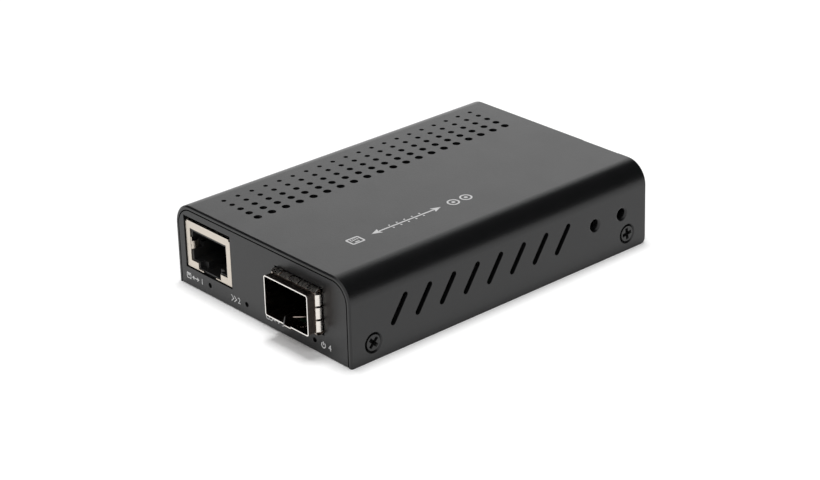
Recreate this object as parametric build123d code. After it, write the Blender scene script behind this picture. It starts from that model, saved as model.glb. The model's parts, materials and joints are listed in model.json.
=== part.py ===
from build123d import *
import os
from math import atan2, degrees, hypot

# Fibre media converter: a bent steel case with one shielded copper port and one
# cage for an optical module.
# X runs to the right as seen from the front, Y from front to rear, Z up.
# The origin is the middle of the underside. Lengths are in millimetres.

# Case
CASE_WIDTH = 60.0
CASE_LENGTH = 90.0
CASE_HEIGHT = 20.0
COVER_SHEET = 1.0
COVER_BEND = 5.5            # outer radius of the two long upper edges
COVER_REAR_CORNER = 1.5     # lower rear corner of each side
TRAY_SHEET = 1.0
TRAY_BEND = 1.2             # outer radius at the foot of the tabs
PANEL_BEND = 0.35           # the end panels are coined to a sharper foot
SEAM = 0.2                  # gap all round between the tray and the cover
FRONT = -CASE_LENGTH / 2
REAR = CASE_LENGTH / 2

# Vents in the cover's top, smallest in the column nearest the side
VENT_INSET_X = 8.35
VENT_INSET_Y = 7.5
VENT_COLUMNS = 5
VENT_COLUMN_PITCH = 3.05
VENT_ROW_PITCH = 3.97
VENT_SMALLEST = 1.1
VENT_STEP = 0.2
VENT_FLATS = 12             # round enough for so small a punch, and there are a hundred

# Leaning slots in the cover's sides, given at the lower end's arc centre
SLOT_INSET_Y = 11.81
SLOT_FOOT_Z = 7.02
SLOT_RISE = 5.25
SLOT_LEAN = 3.5
SLOT_WIDTH = 1.4
SLOT_PITCH = 7.0
SLOT_MARGIN = 4.0           # least distance from the last slot to the bracket holes

# Drawn and tapped bracket holes in the cover's sides
BRACKET_INSET_Y = 8.2
BRACKET_SPACING = 8.8
BRACKET_Z = 9.7
BRACKET_BORE = 2.5
BRACKET_LEAD_IN = 0.4       # chamfer at the mouth
COLLAR_WALL = 0.5
COLLAR_DEPTH = 0.8

# Countersunk screws that hold the cover to the tray's tabs
SIDE_SCREW_INSET_Y = 6.2
SIDE_SCREW_Z = 4.2
SIDE_SCREW_THREAD = 2.5
SIDE_SCREW_HEAD = 4.0
SIDE_SCREW_LENGTH = 2.6
SIDE_SCREW_SINK = 0.35      # the head lies this far below the cover's face
SIDE_SCREW_SEAT = 0.05      # between the head and its countersink
SIDE_SCREW_TIP = 0.3
SIDE_SCREW_TURNS = (45, 8)  # how the cross of the front and rear screws stands, in degrees
THREAD_GAP = 0.05           # around a plain thread in its hole
RECESS_SPAN = 2.5           # cross recess of every screw
RECESS_WIDTH = 0.75
RECESS_DEPTH = 1.1
RECESS_TAPER = 14.0         # lean of its walls, in degrees
TAB_LENGTH = 7.6
TAB_HEIGHT = 7.4
TAB_RELIEF = 0.8

# Circuit board
BOARD_THICKNESS = 1.6
BOARD_UNDERSIDE = 3.2
BOARD_SIDE_GAP = 2.0        # to the tray's tab line, clear of the tabs' drawn collars
BOARD_END_GAP = 0.4
BOARD_TOP = BOARD_UNDERSIDE + BOARD_THICKNESS
SEAT = 0.04                 # solder gap under what stands on the board
LEAD_GAP = 0.2              # around a lead or tail in its hole in the board
LEAD_BELOW = 0.9            # leads and tails stand this far below the board

# Standoffs, pressed into the floor, and their pan-head screws
STANDOFF_EDGE_X = 3.0
STANDOFF_BEHIND_PORT = 4.1
STANDOFF_REAR_Y = 10.4
STANDOFF_ACROSS = 4.5
STANDOFF_SPIGOT = 4.0
BOARD_SCREW_THREAD = 2.5
BOARD_SCREW_HEAD = 4.5
BOARD_SCREW_HEAD_HEIGHT = 1.7
BOARD_SCREW_HEAD_EDGE = 0.5
BOARD_SCREW_LENGTH = 3.2
BOARD_HOLE_GAP = 0.15

# Copper port: shield, housing and contacts
PORT_INSET_X = 11.3         # port's middle from the case's left side
PORT_WIDTH = 16.1
PORT_HEIGHT = 11.4
PORT_DEPTH = 15.0
PORT_RECESS = 0.3           # shield's face behind the front panel's face
SHIELD_SHEET = 0.25
SHIELD_GAP = 0.05
SHIELD_NOTCH = 0.45         # at the face's two upper corners
PLUG_MOUTH_WIDTH = 13.15
PLUG_MOUTH_FOOT = 1.75      # above the shield's lower edge
PLUG_MOUTH_HEIGHT = 7.9
LATCH_SHELF_WIDTH = 8.1
LATCH_MOUTH_WIDTH = 4.5
LATCH_STRIP = 0.3           # height of the thin strip beside the latch mouth
PLUG_WIDTH = 12.0
PLUG_HEIGHT = 7.0
PLUG_DEPTH = 11.5
PLUG_LIP = 0.3              # how far the moulding's mouth stands inside the shield's
LATCH_SHELF_DEPTH = 1.2
LATCH_FLOOR = 0.5           # nylon under the latch
SHIELD_SPRING_RISE = 4.74   # its middle above the plug mouth's foot
SHIELD_SPRING_HEIGHT = 1.8
SHIELD_SPRING_BOW = 0.9
SHIELD_SPRING_LENGTH = 5.0
PORT_CONTACTS = 8
PORT_CONTACT_PITCH = 1.02
PORT_CONTACT_WIDTH = 0.4
PORT_CONTACT_THICKNESS = 0.3
PORT_CONTACT_ROOF = 1.35    # its upper run below the shield's top
PORT_CONTACT_FRONT = 2.2    # its front bend behind the shield's face
PORT_CONTACT_SPRING = 6.6   # length of the sloping spring end
PORT_CONTACT_DROP = 3.2     # its drop
PORT_TAIL_INSET = 1.6       # rear tails in front of the shield's rear face
PORT_TAIL_STAGGER = 0.9     # every other tail stands this far forward
PORT_PEG_INSET = 9.0        # shield's pegs behind its face
PORT_PEG_WIDTH = 1.8
PORT_CUTOUT_LEFT = 0.25
PORT_CUTOUT_RIGHT = 0.5
PORT_CUTOUT_ABOVE = 1.1
PORT_CUTOUT_BELOW = 0.24

# Module cage and its collar
CAGE_INSET_X = 9.35         # cage's right side from the case's right side
CAGE_WIDTH = 14.5
CAGE_HEIGHT = 9.55
CAGE_LENGTH = 48.8
CAGE_FOOT = 0.8             # underside above the board
CAGE_REACH = 3.67           # in front of the panel
CAGE_SHEET = 0.25
CAGE_CORNER = 0.6
CAGE_LEGS = 3               # along each side
CAGE_LEG_INSET = 4.0        # first legs behind the panel's face
CAGE_LEG_PITCH = 13.0
CAGE_LEG_WIDTH = 1.6
CAGE_PIN_WIDTH = 0.7
CAGE_PIN_HOLE = 1.1
TONGUE_WIDTH = 6.4
TONGUE_TIP_WIDTH = 1.8
TONGUE_LENGTH = 11.0
TONGUE_TAPER = 2.2
TONGUE_SLIT = 0.35
TONGUE_DIP = 0.4
LATCH_HOLE_INSET = 3.2      # its straight side behind the cage's front edge
LATCH_HOLE_WIDTH = 4.6
LATCH_HOLE_DEPTH = 2.4
CAGE_VENT = 1.8
CAGE_VENT_PITCH = 4.6
CAGE_VENT_COLUMNS = 2
CAGE_VENT_ROWS = 4
EMI_SHEET = 0.15
EMI_GAP = 0.03
EMI_PITCH = 3.05
EMI_SLIT = 0.45
EMI_CREST = 0.6
EMI_BAND_FRONT = 2.6        # both measured forwards from the panel's face
EMI_BAND_REAR = 1.7
EMI_FINGER_ARC = 2.4
EMI_FINGER_TAIL = 0.8
EMI_FINGER_LIFT = 0.12      # of the tail off the cage
EMI_FINGERS_ACROSS = 5
EMI_FINGERS_UP = 3
CAGE_CUTOUT_GAP = 0.75

# Card-edge connector inside the cage
EDGE_WIDTH = 12.2
EDGE_LENGTH = 8.6
EDGE_HEIGHT = 6.2
EDGE_REAR_GAP = 2.8
EDGE_SLOT_WIDTH = 9.6
EDGE_SLOT_HEIGHT = 1.8
EDGE_SLOT_DEPTH = 5.0
EDGE_SLOT_Z = 4.1           # slot's middle above the board
EDGE_CONTACTS = 10          # in each row
EDGE_CONTACT_PITCH = 0.8
EDGE_CONTACT_WIDTH = 0.3
EDGE_CONTACT_THICKNESS = 0.2
EDGE_CONTACT_BUMP = 0.4     # how far its tip bends into the slot
EDGE_CONTACT_RECESS = 0.9   # its tip behind the housing's face
EDGE_LEAD_IN = 0.5
CONTACT_GAP = 0.06          # around a contact in its housing

# Power inlet
JACK_INSET_X = 14.3         # its middle from the case's right side
JACK_WIDTH = 9.0
JACK_LENGTH = 14.0
JACK_AXIS = 6.5             # above the board
JACK_BORE = 6.0
JACK_BORE_DEPTH = 9.5
JACK_NOSE = 7.6
JACK_NOSE_GAP = 0.2
JACK_PIN = 2.0
JACK_PIN_SHANK = 1.4
JACK_PIN_RECESS = 0.5       # tip behind the housing's face
JACK_STRIP = 0.3
JACK_STRIP_WIDTH = 2.4
JACK_TERMINAL = 4.0         # width of the plate riveted on the pin
JACK_SPRING_INSET = 6.0     # spring's tail in front of the inlet's face
JACK_SHOULDER = 1.0         # chamfer along the housing's upper edges
NOTCH_WIDTH = 11.2
NOTCH_DEPTH = 0.4

# Status lights under the board's front edge
LIGHT_HOLE = 1.2
LIGHT_Z = 2.7
LIGHT_WIDTH = 1.6
LIGHT_HEIGHT = 1.0
LIGHT_DEPTH = 1.2
LIGHT_LENS = 1.1
PORT_LIGHTS_X = (0.25, 13.5)    # from the copper port's middle
CAGE_LIGHTS_X = (-3.3, 4.7)     # from the cage's middle
LIGHT_SETBACK = 0.5             # body behind the front panel's inner face

# Parts on the board: width, length and height
TRANSFORMER_SIZE = (9.6, 15.2, 5.4)
SMALL_CHIP_SIZE = (3.9, 4.9, 1.5)
CONVERTER_CHIP_SIZE = (10.0, 10.0, 0.9)
INDUCTOR_SIZE = (6.0, 6.0, 3.0)
RESISTOR_SIZE = (1.6, 0.8, 0.45)
CERAMIC_SIZE = (2.0, 1.25, 0.9)
CAN_BASE = 6.6
CAN_RADIUS = 3.15
CAN_HEIGHT = 5.4
CRYSTAL_LENGTH = 10.2
CRYSTAL_WIDTH = 3.8
CRYSTAL_HEIGHT = 3.4
CRYSTAL_FLANGE = 0.45
CHIP_LEAD_WIDTH = 0.4
CHIP_LEAD_THICKNESS = 0.16

PANEL_WIDTH = CASE_WIDTH - 2 * (COVER_SHEET + SEAM)
PANEL_HEIGHT = CASE_HEIGHT - COVER_SHEET - SEAM
PANEL_CORNER = COVER_BEND - COVER_SHEET - SEAM
BOARD_WIDTH = PANEL_WIDTH - 2 * BOARD_SIDE_GAP
BOARD_LENGTH = CASE_LENGTH - 2 * (TRAY_SHEET + BOARD_END_GAP)
PORT_X = -CASE_WIDTH / 2 + PORT_INSET_X
PORT_FACE = FRONT + PORT_RECESS
PORT_FOOT = BOARD_TOP + SEAT
PORT_REAR = PORT_FACE + PORT_DEPTH
CAGE_X = CASE_WIDTH / 2 - CAGE_INSET_X - CAGE_WIDTH / 2
CAGE_FRONT = FRONT - CAGE_REACH
CAGE_REAR = CAGE_FRONT + CAGE_LENGTH
CAGE_BOTTOM = BOARD_TOP + CAGE_FOOT
CAGE_MIDDLE_Z = CAGE_BOTTOM + CAGE_HEIGHT / 2
EDGE_REAR = CAGE_REAR - EDGE_REAR_GAP
EDGE_FRONT = EDGE_REAR - EDGE_LENGTH
EDGE_SLOT_MIDDLE = BOARD_TOP + EDGE_SLOT_Z
JACK_X = CASE_WIDTH / 2 - JACK_INSET_X
JACK_FACE = REAR - TRAY_SHEET - SEAT
JACK_AXIS_Z = BOARD_TOP + JACK_AXIS
SIDE_SCREW_YS = (FRONT + SIDE_SCREW_INSET_Y, REAR - SIDE_SCREW_INSET_Y)
BRACKET_YS = (REAR - BRACKET_INSET_Y - BRACKET_SPACING, REAR - BRACKET_INSET_Y)
LIGHT_XS = [PORT_X + x for x in PORT_LIGHTS_X] + [CAGE_X + x for x in CAGE_LIGHTS_X]
STANDOFF_SPOTS = [(side * (BOARD_WIDTH / 2 - STANDOFF_EDGE_X), y)
                  for side in (-1, 1)
                  for y in (PORT_REAR + STANDOFF_BEHIND_PORT, REAR - STANDOFF_REAR_Y)]
CAGE_LEG_YS = [FRONT + CAGE_LEG_INSET + CAGE_LEG_PITCH * k for k in range(CAGE_LEGS)]
PORT_PEG_Y = PORT_FACE + PORT_PEG_INSET
SHIELD_SPRING_Z = PORT_FOOT + PLUG_MOUTH_FOOT + SHIELD_SPRING_RISE
JACK_TAIL_YS = (JACK_FACE - JACK_SPRING_INSET, JACK_FACE - JACK_LENGTH - JACK_STRIP / 2 - SEAT)
LEAD_END = BOARD_UNDERSIDE - LEAD_BELOW

# Where the parts stand on the board: middle across, middle along, turn in degrees.
# The front ones keep behind the copper port and in the bay left of the cage.
LEFT_RIM = -BOARD_WIDTH / 2
RIGHT_RIM = BOARD_WIDTH / 2
REAR_RIM = BOARD_LENGTH / 2
BAY_X = (LEFT_RIM + CAGE_X - CAGE_WIDTH / 2) / 2
CHIP_X = BAY_X + 0.6
CHIP_Y = PORT_REAR + 25.7
SPOTS = {
    "transformer": (LEFT_RIM + 14.3, PORT_REAR + 9.2, 90),
    "converter_chip": (CHIP_X, CHIP_Y, 0),
    "clock_crystal": (CHIP_X - 9.2, CHIP_Y + 0.4, 90),
    "memory_chip": (CHIP_X - 8.2, CHIP_Y + 11.0, 0),
    "regulator_chip": (RIGHT_RIM - 23.8, REAR_RIM - 21.6, 90),
    "power_inductor": (RIGHT_RIM - 22.3, REAR_RIM - 13.0, 0),
    "bulk_capacitor_1": (RIGHT_RIM - 30.3, REAR_RIM - 15.6, 0),
    "bulk_capacitor_2": (RIGHT_RIM - 39.3, REAR_RIM - 15.6, 0),
}


def arch(width, height, corner, length):
    """A solid along Y that stands on z 0, with its two upper edges rounded."""
    outline = RectangleRounded(width, 2 * height, corner) & Pos(0, height / 2) * Rectangle(width, height)
    return extrude(Plane.XZ * outline, length / 2, both=True)


def block(x_range, y_range, z_range):
    """A box from its limits along each axis."""
    sizes = [high - low for low, high in (x_range, y_range, z_range)]
    middle = [(high + low) / 2 for low, high in (x_range, y_range, z_range)]
    return Pos(*middle) * Box(*sizes)


def about(middle, size):
    """The limits of a length centred on a place."""
    return (middle - size / 2, middle + size / 2)


def side_plane(y, z, x=CASE_WIDTH / 2):
    """A plane that looks out of the right side at one spot."""
    return Plane(origin=(x, y, z), x_dir=(0, 1, 0), z_dir=(1, 0, 0))


def both_sides(solid):
    return [solid, mirror(solid, about=Plane.YZ)]


def strip(path, thickness, width, x=0.0):
    """A bent strip: a path in the upright plane along Y, thickened, then widened along X."""
    return Pos(x, 0, 0) * extrude(Plane.YZ * trace(path, thickness), width / 2, both=True)


def row(count, pitch, middle=0.0):
    """Evenly spaced places, centred on one place."""
    return [middle + pitch * (k - (count - 1) / 2) for k in range(count)]


def vent_holes():
    rows = int((CASE_LENGTH - 2 * VENT_INSET_Y) / VENT_ROW_PITCH + 0.5) + 1
    holes = []
    for column in range(VENT_COLUMNS):
        x = -CASE_WIDTH / 2 + VENT_INSET_X + column * VENT_COLUMN_PITCH
        radius = (VENT_SMALLEST + column * VENT_STEP) / 2
        punch = extrude(RegularPolygon(radius, VENT_FLATS), COVER_SHEET, both=True)
        for k in range(rows):
            y = FRONT + VENT_INSET_Y + k * VENT_ROW_PITCH
            holes.append(Pos(x, y, CASE_HEIGHT - COVER_SHEET / 2) * punch)
    return holes


def side_slots():
    """One cut for each pair of slots, right through both sides."""
    space = BRACKET_YS[0] - SLOT_MARGIN - SLOT_LEAN - (FRONT + SLOT_INSET_Y)
    shape = Rot(0, 0, degrees(atan2(SLOT_RISE, SLOT_LEAN))) * SlotCenterToCenter(
        hypot(SLOT_RISE, SLOT_LEAN), SLOT_WIDTH)
    cuts = []
    for k in range(int(space / SLOT_PITCH) + 1):
        y = FRONT + SLOT_INSET_Y + SLOT_LEAN / 2 + k * SLOT_PITCH
        z = SLOT_FOOT_Z + SLOT_RISE / 2
        cuts.append(extrude(Plane.YZ * Pos(y, z) * shape, CASE_WIDTH, both=True))
    return cuts


def countersink():
    """The cut for a screw head, with its mouth at z 0, running down through the sheet."""
    mouth = SIDE_SCREW_HEAD / 2 + SIDE_SCREW_SINK + SIDE_SCREW_SEAT
    foot = mouth - COVER_SHEET
    return Pos(0, 0, -COVER_SHEET / 2) * Cone(foot, mouth, COVER_SHEET)


def cover():
    shell = arch(CASE_WIDTH, CASE_HEIGHT, COVER_BEND, CASE_LENGTH)
    shell -= arch(CASE_WIDTH - 2 * COVER_SHEET, CASE_HEIGHT - COVER_SHEET,
                  COVER_BEND - COVER_SHEET, CASE_LENGTH + 2)
    rear_feet = shell.edges().filter_by(Axis.X).group_by(Axis.Y)[-1].group_by(Axis.Z)[0]
    shell = fillet(rear_feet, COVER_REAR_CORNER)

    collar_length = COVER_SHEET + COLLAR_DEPTH
    collar = Pos(0, 0, -collar_length / 2) * Cylinder(BRACKET_BORE / 2 + COLLAR_WALL, collar_length)
    bore = Pos(0, 0, -collar_length / 2) * Cylinder(BRACKET_BORE / 2, collar_length + 1)
    for y in BRACKET_YS:
        place = side_plane(y, BRACKET_Z)
        shell += both_sides(place * collar)
        shell -= both_sides(place * bore)
    mouths = shell.edges().filter_by(GeomType.CIRCLE).filter_by(
        lambda edge: abs(edge.radius - BRACKET_BORE / 2) < 0.01
        and abs(abs(edge.arc_center.X) - CASE_WIDTH / 2) < 0.01)
    shell = chamfer(mouths, BRACKET_LEAD_IN)

    sinks = []
    for y in SIDE_SCREW_YS:
        sinks += both_sides(side_plane(y, SIDE_SCREW_Z) * countersink())
    notch = block(about(JACK_X, NOTCH_WIDTH), (REAR - NOTCH_DEPTH, REAR + 1),
                  (CASE_HEIGHT - 1.5 * COVER_SHEET, CASE_HEIGHT + 1))
    return shell - (sinks + [notch] + side_slots() + vent_holes())


def port_cutout():
    return block((PORT_X - PORT_WIDTH / 2 - PORT_CUTOUT_LEFT, PORT_X + PORT_WIDTH / 2 + PORT_CUTOUT_RIGHT),
                 (FRONT - 1, FRONT + 2 * TRAY_SHEET),
                 (PORT_FOOT - PORT_CUTOUT_BELOW, PORT_FOOT + PORT_HEIGHT + PORT_CUTOUT_ABOVE))


def cage_cutout():
    return block(about(CAGE_X, CAGE_WIDTH + 2 * CAGE_CUTOUT_GAP),
                 (FRONT - 1, FRONT + 2 * TRAY_SHEET),
                 about(CAGE_MIDDLE_Z, CAGE_HEIGHT + 2 * CAGE_CUTOUT_GAP))


def base_tray():
    lift = CASE_HEIGHT
    outer = RectangleRounded(CASE_LENGTH, 2 * lift, PANEL_BEND)
    inner = Rectangle(CASE_LENGTH - 2 * TRAY_SHEET, 2 * (lift - TRAY_SHEET))
    channel = extrude(Plane.YZ * Pos(0, lift) * (outer - inner), PANEL_WIDTH / 2, both=True)
    tray = channel & arch(PANEL_WIDTH, PANEL_HEIGHT, PANEL_CORNER, CASE_LENGTH)

    tab_outer = RectangleRounded(PANEL_WIDTH, 2 * TAB_HEIGHT, TRAY_BEND)
    tab_inner = RectangleRounded(PANEL_WIDTH - 2 * TRAY_SHEET, 2 * (TAB_HEIGHT - TRAY_SHEET),
                                 TRAY_BEND - TRAY_SHEET)
    tab_pair = (tab_outer - tab_inner) & Pos(0, -TAB_HEIGHT / 2) * Rectangle(PANEL_WIDTH, TAB_HEIGHT)
    tab_strip = extrude(Plane.XZ * Pos(0, TAB_HEIGHT) * tab_pair, TAB_LENGTH / 2, both=True)
    relief = Box(2 * (TRAY_BEND + TAB_RELIEF), TAB_LENGTH + 2 * TAB_RELIEF, 4 * TRAY_SHEET)
    collar_length = TRAY_SHEET + COLLAR_DEPTH
    hole_radius = SIDE_SCREW_THREAD / 2 + THREAD_GAP
    collar = Pos(0, 0, -collar_length / 2) * Cylinder(hole_radius + COLLAR_WALL, collar_length)
    bore = Pos(0, 0, -collar_length / 2) * Cylinder(hole_radius, collar_length + 1)
    for y in SIDE_SCREW_YS:
        place = side_plane(y, SIDE_SCREW_Z, PANEL_WIDTH / 2)
        tray -= both_sides(Pos(PANEL_WIDTH / 2, y, 0) * relief)
        tray += Pos(0, y, 0) * tab_strip
        tray += both_sides(place * collar)
        tray -= both_sides(place * bore)

    spigot_holes = [Pos(x, y, TRAY_SHEET / 2) * Cylinder(STANDOFF_SPIGOT / 2 + SEAT, 2 * TRAY_SHEET)
                    for x, y in STANDOFF_SPOTS]
    light_holes = [Pos(x, FRONT, LIGHT_Z) * Rot(90, 0, 0) * Cylinder(LIGHT_HOLE / 2, 4 * TRAY_SHEET)
                   for x in LIGHT_XS]
    jack_hole = Pos(JACK_X, REAR, JACK_AXIS_Z) * Rot(90, 0, 0) * Cylinder(
        JACK_NOSE / 2 + JACK_NOSE_GAP, 4 * TRAY_SHEET)
    return tray - (spigot_holes + light_holes + [jack_hole, port_cutout(), cage_cutout()])


def cross_recess():
    """A cross-shaped recess below z 0 that narrows downwards."""
    cross = Rectangle(RECESS_SPAN, RECESS_WIDTH) + Rectangle(RECESS_WIDTH, RECESS_SPAN)
    return extrude(cross, RECESS_DEPTH, dir=(0, 0, -1), taper=RECESS_TAPER)


def side_screws():
    head = SIDE_SCREW_HEAD / 2
    thread = SIDE_SCREW_THREAD / 2
    profile = make_face(Polyline((0, 0), (head, 0), (thread, thread - head),
                                 (thread, SIDE_SCREW_TIP - SIDE_SCREW_LENGTH),
                                 (thread - SIDE_SCREW_TIP, -SIDE_SCREW_LENGTH),
                                 (0, -SIDE_SCREW_LENGTH), close=True))
    screw = revolve(Plane.XZ * profile, Axis.Z) - cross_recess()
    screws = []
    for y, turn in zip(SIDE_SCREW_YS, SIDE_SCREW_TURNS):
        place = side_plane(y, SIDE_SCREW_Z, CASE_WIDTH / 2 - SIDE_SCREW_SINK)
        screws += both_sides(place * Rot(0, 0, turn) * screw)
    return Compound(children=screws)


def circuit_board():
    board = block(about(0, BOARD_WIDTH), about(0, BOARD_LENGTH), (BOARD_UNDERSIDE, BOARD_TOP))
    middle = (BOARD_UNDERSIDE + BOARD_TOP) / 2
    deep = 2 * BOARD_THICKNESS

    def hole(x, y, diameter):
        return Pos(x, y, middle) * Cylinder(diameter / 2, deep)

    def slot(x, y, x_size, y_size):
        return Pos(x, y, middle) * Box(x_size, y_size, deep)

    screw_hole = BOARD_SCREW_THREAD + 2 * BOARD_HOLE_GAP
    cuts = [hole(x, y, screw_hole) for x, y in STANDOFF_SPOTS]
    tab_collar_x = PANEL_WIDTH / 2 - TRAY_SHEET
    tab_collar = SIDE_SCREW_THREAD + 2 * (THREAD_GAP + COLLAR_WALL)
    cuts += [hole(side * tab_collar_x, y, tab_collar) for side in (-1, 1) for y in SIDE_SCREW_YS]
    cuts += [hole(CAGE_X + side * (CAGE_WIDTH - CAGE_SHEET) / 2, y, CAGE_PIN_HOLE)
             for side in (-1, 1) for y in CAGE_LEG_YS]
    tail_hole = hypot(PORT_CONTACT_WIDTH, PORT_CONTACT_THICKNESS) + LEAD_GAP
    cuts += [hole(x, tail_y, tail_hole) for x, tail_y in port_contact_spots()]
    room = 2 * LEAD_GAP
    cuts += [slot(PORT_X + side * (PORT_WIDTH - SHIELD_SHEET) / 2, PORT_PEG_Y,
                  SHIELD_SHEET + room, PORT_PEG_WIDTH + room) for side in (-1, 1)]
    cuts += [slot(JACK_X, y, JACK_STRIP_WIDTH + room, JACK_STRIP + room) for y in JACK_TAIL_YS]
    return board - cuts


def standoffs():
    height = BOARD_UNDERSIDE - TRAY_SHEET
    body = extrude(RegularPolygon(STANDOFF_ACROSS / 2, 6, major_radius=False), height)
    body += Pos(0, 0, (SEAT - TRAY_SHEET) / 2) * Cylinder(STANDOFF_SPIGOT / 2, TRAY_SHEET - SEAT)
    body -= Cylinder(BOARD_SCREW_THREAD / 2 + THREAD_GAP, 4 * height)
    return Compound(children=[Pos(x, y, TRAY_SHEET) * body for x, y in STANDOFF_SPOTS])


def board_screws():
    thread = BOARD_SCREW_THREAD / 2
    head = Pos(0, 0, BOARD_SCREW_HEAD_HEIGHT / 2) * Cylinder(BOARD_SCREW_HEAD / 2, BOARD_SCREW_HEAD_HEIGHT)
    head = chamfer(head.edges().group_by(Axis.Z)[-1], BOARD_SCREW_HEAD_EDGE)
    screw = head + Pos(0, 0, -BOARD_SCREW_LENGTH / 2) * Cylinder(thread, BOARD_SCREW_LENGTH)
    screw -= Pos(0, 0, BOARD_SCREW_HEAD_HEIGHT) * cross_recess()
    return Compound(children=[Pos(x, y, BOARD_TOP) * screw for x, y in STANDOFF_SPOTS])


def shield_spring():
    """The left side spring: a leaf folded in at the plug mouth's edge and bowed into the mouth."""
    edge = PORT_X - PLUG_MOUTH_WIDTH / 2 - SHIELD_SHEET / 2
    start = PORT_FACE + SHIELD_SHEET / 2
    bow = ThreePointArc((edge, start), (edge + SHIELD_SPRING_BOW, start + SHIELD_SPRING_LENGTH / 2),
                        (edge, start + SHIELD_SPRING_LENGTH))
    leaf = extrude(trace(bow, SHIELD_SHEET), SHIELD_SPRING_HEIGHT / 2, both=True)
    return Pos(0, 0, SHIELD_SPRING_Z) * leaf


def about_port(solid):
    """A solid of the copper port's left half, with its mirrored twin."""
    return [solid, mirror(solid, about=Plane.YZ.offset(PORT_X))]


def rj45_shield():
    port_top = PORT_FOOT + PORT_HEIGHT
    shield = block(about(PORT_X, PORT_WIDTH), (PORT_FACE, PORT_REAR), (PORT_FOOT, port_top))
    shield -= block(about(PORT_X, PORT_WIDTH - 2 * SHIELD_SHEET),
                    (PORT_FACE + SHIELD_SHEET, PORT_REAR - SHIELD_SHEET),
                    (PORT_FOOT - 1, port_top - SHIELD_SHEET))
    face = (PORT_FACE - 1, PORT_FACE + 2 * SHIELD_SHEET)
    mouth_foot = PORT_FOOT + PLUG_MOUTH_FOOT
    shield -= [
        block(about(PORT_X, PLUG_MOUTH_WIDTH), face, (mouth_foot, mouth_foot + PLUG_MOUTH_HEIGHT)),
        block(about(PORT_X, LATCH_SHELF_WIDTH), face, (PORT_FOOT + LATCH_STRIP, mouth_foot + 1)),
        block(about(PORT_X, LATCH_MOUTH_WIDTH), face, (PORT_FOOT - 1, mouth_foot + 1)),
    ]
    port_left = PORT_X - PORT_WIDTH / 2
    upper_corner = block((port_left - 1, port_left + SHIELD_NOTCH), face,
                         (port_top - SHIELD_NOTCH, port_top + 1))
    peg = block((port_left, port_left + SHIELD_SHEET), about(PORT_PEG_Y, PORT_PEG_WIDTH),
                (LEAD_END, PORT_FOOT + 1))
    shield -= about_port(upper_corner)
    return shield + (about_port(peg) + about_port(shield_spring()))


def port_contact_spots():
    """Each contact's place across and its tail's place along, in two staggered rows."""
    rear_row = PORT_REAR - PORT_TAIL_INSET
    return [(x, rear_row - (k % 2) * PORT_TAIL_STAGGER)
            for k, x in enumerate(row(PORT_CONTACTS, PORT_CONTACT_PITCH, PORT_X))]


def port_contacts(gap=0.0):
    """Wires that rise from the board, run forwards under the roof and slope back into the plug's space."""
    roof = PORT_FOOT + PORT_HEIGHT - PORT_CONTACT_ROOF
    front = PORT_FACE + PORT_CONTACT_FRONT
    spring_end = (front + PORT_CONTACT_SPRING, roof - PORT_CONTACT_DROP)
    wires = []
    for x, tail_y in port_contact_spots():
        path = Polyline((tail_y, LEAD_END), (tail_y, roof), (front, roof), spring_end)
        wires.append(strip(path, PORT_CONTACT_THICKNESS + 2 * gap, PORT_CONTACT_WIDTH + 2 * gap, x))
    return wires


def rj45_housing():
    wall = SHIELD_SHEET + SHIELD_GAP
    front = PORT_FACE + wall
    top = PORT_FOOT + PORT_HEIGHT - wall
    housing = block(about(PORT_X, PORT_WIDTH - 2 * wall), (front, PORT_REAR - wall), (PORT_FOOT, top))
    plug_foot = PORT_FOOT + PLUG_MOUTH_FOOT + PLUG_LIP
    plug_space = (front - 1, front + PLUG_DEPTH)
    spring_room = 0.2
    cuts = [
        block(about(PORT_X, PLUG_WIDTH), plug_space, (plug_foot, plug_foot + PLUG_HEIGHT)),
        block(about(PORT_X, LATCH_MOUTH_WIDTH), plug_space, (PORT_FOOT + LATCH_FLOOR, plug_foot + 1)),
        block(about(PORT_X, LATCH_SHELF_WIDTH - 2 * PLUG_LIP), (front - 1, front + LATCH_SHELF_DEPTH),
              (PORT_FOOT + LATCH_STRIP + spring_room, plug_foot + 1)),
    ]
    outside = PORT_X - PLUG_MOUTH_WIDTH / 2 - SHIELD_SHEET - spring_room
    spring_pocket = block((outside, PORT_X - PLUG_WIDTH / 2 + 1),
                          (front - 1, front + SHIELD_SPRING_LENGTH + 2 * spring_room),
                          about(SHIELD_SPRING_Z, SHIELD_SPRING_HEIGHT + 2 * spring_room))
    return housing - (cuts + port_contacts(CONTACT_GAP) + about_port(spring_pocket))


def tongue_outline(grow):
    """The latch tongue seen from above, from the cage's front edge back, grown on both sides."""
    root = CAGE_FRONT + TONGUE_LENGTH
    half_tip = TONGUE_TIP_WIDTH / 2 + grow
    half_root = TONGUE_WIDTH / 2 + grow
    taper = CAGE_FRONT + TONGUE_TAPER
    return Pos(CAGE_X, 0) * make_face(Polyline(
        (-half_tip, CAGE_FRONT - 1), (half_tip, CAGE_FRONT - 1), (half_tip, CAGE_FRONT),
        (half_root, taper), (half_root, root), (-half_root, root), (-half_root, taper),
        (-half_tip, CAGE_FRONT), close=True))


def latch_hole():
    straight = CAGE_FRONT + LATCH_HOLE_INSET
    return Pos(CAGE_X, 0) * make_face(Polyline(
        (-LATCH_HOLE_WIDTH / 2, straight), (LATCH_HOLE_WIDTH / 2, straight),
        (0, straight + LATCH_HOLE_DEPTH), close=True))


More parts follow.
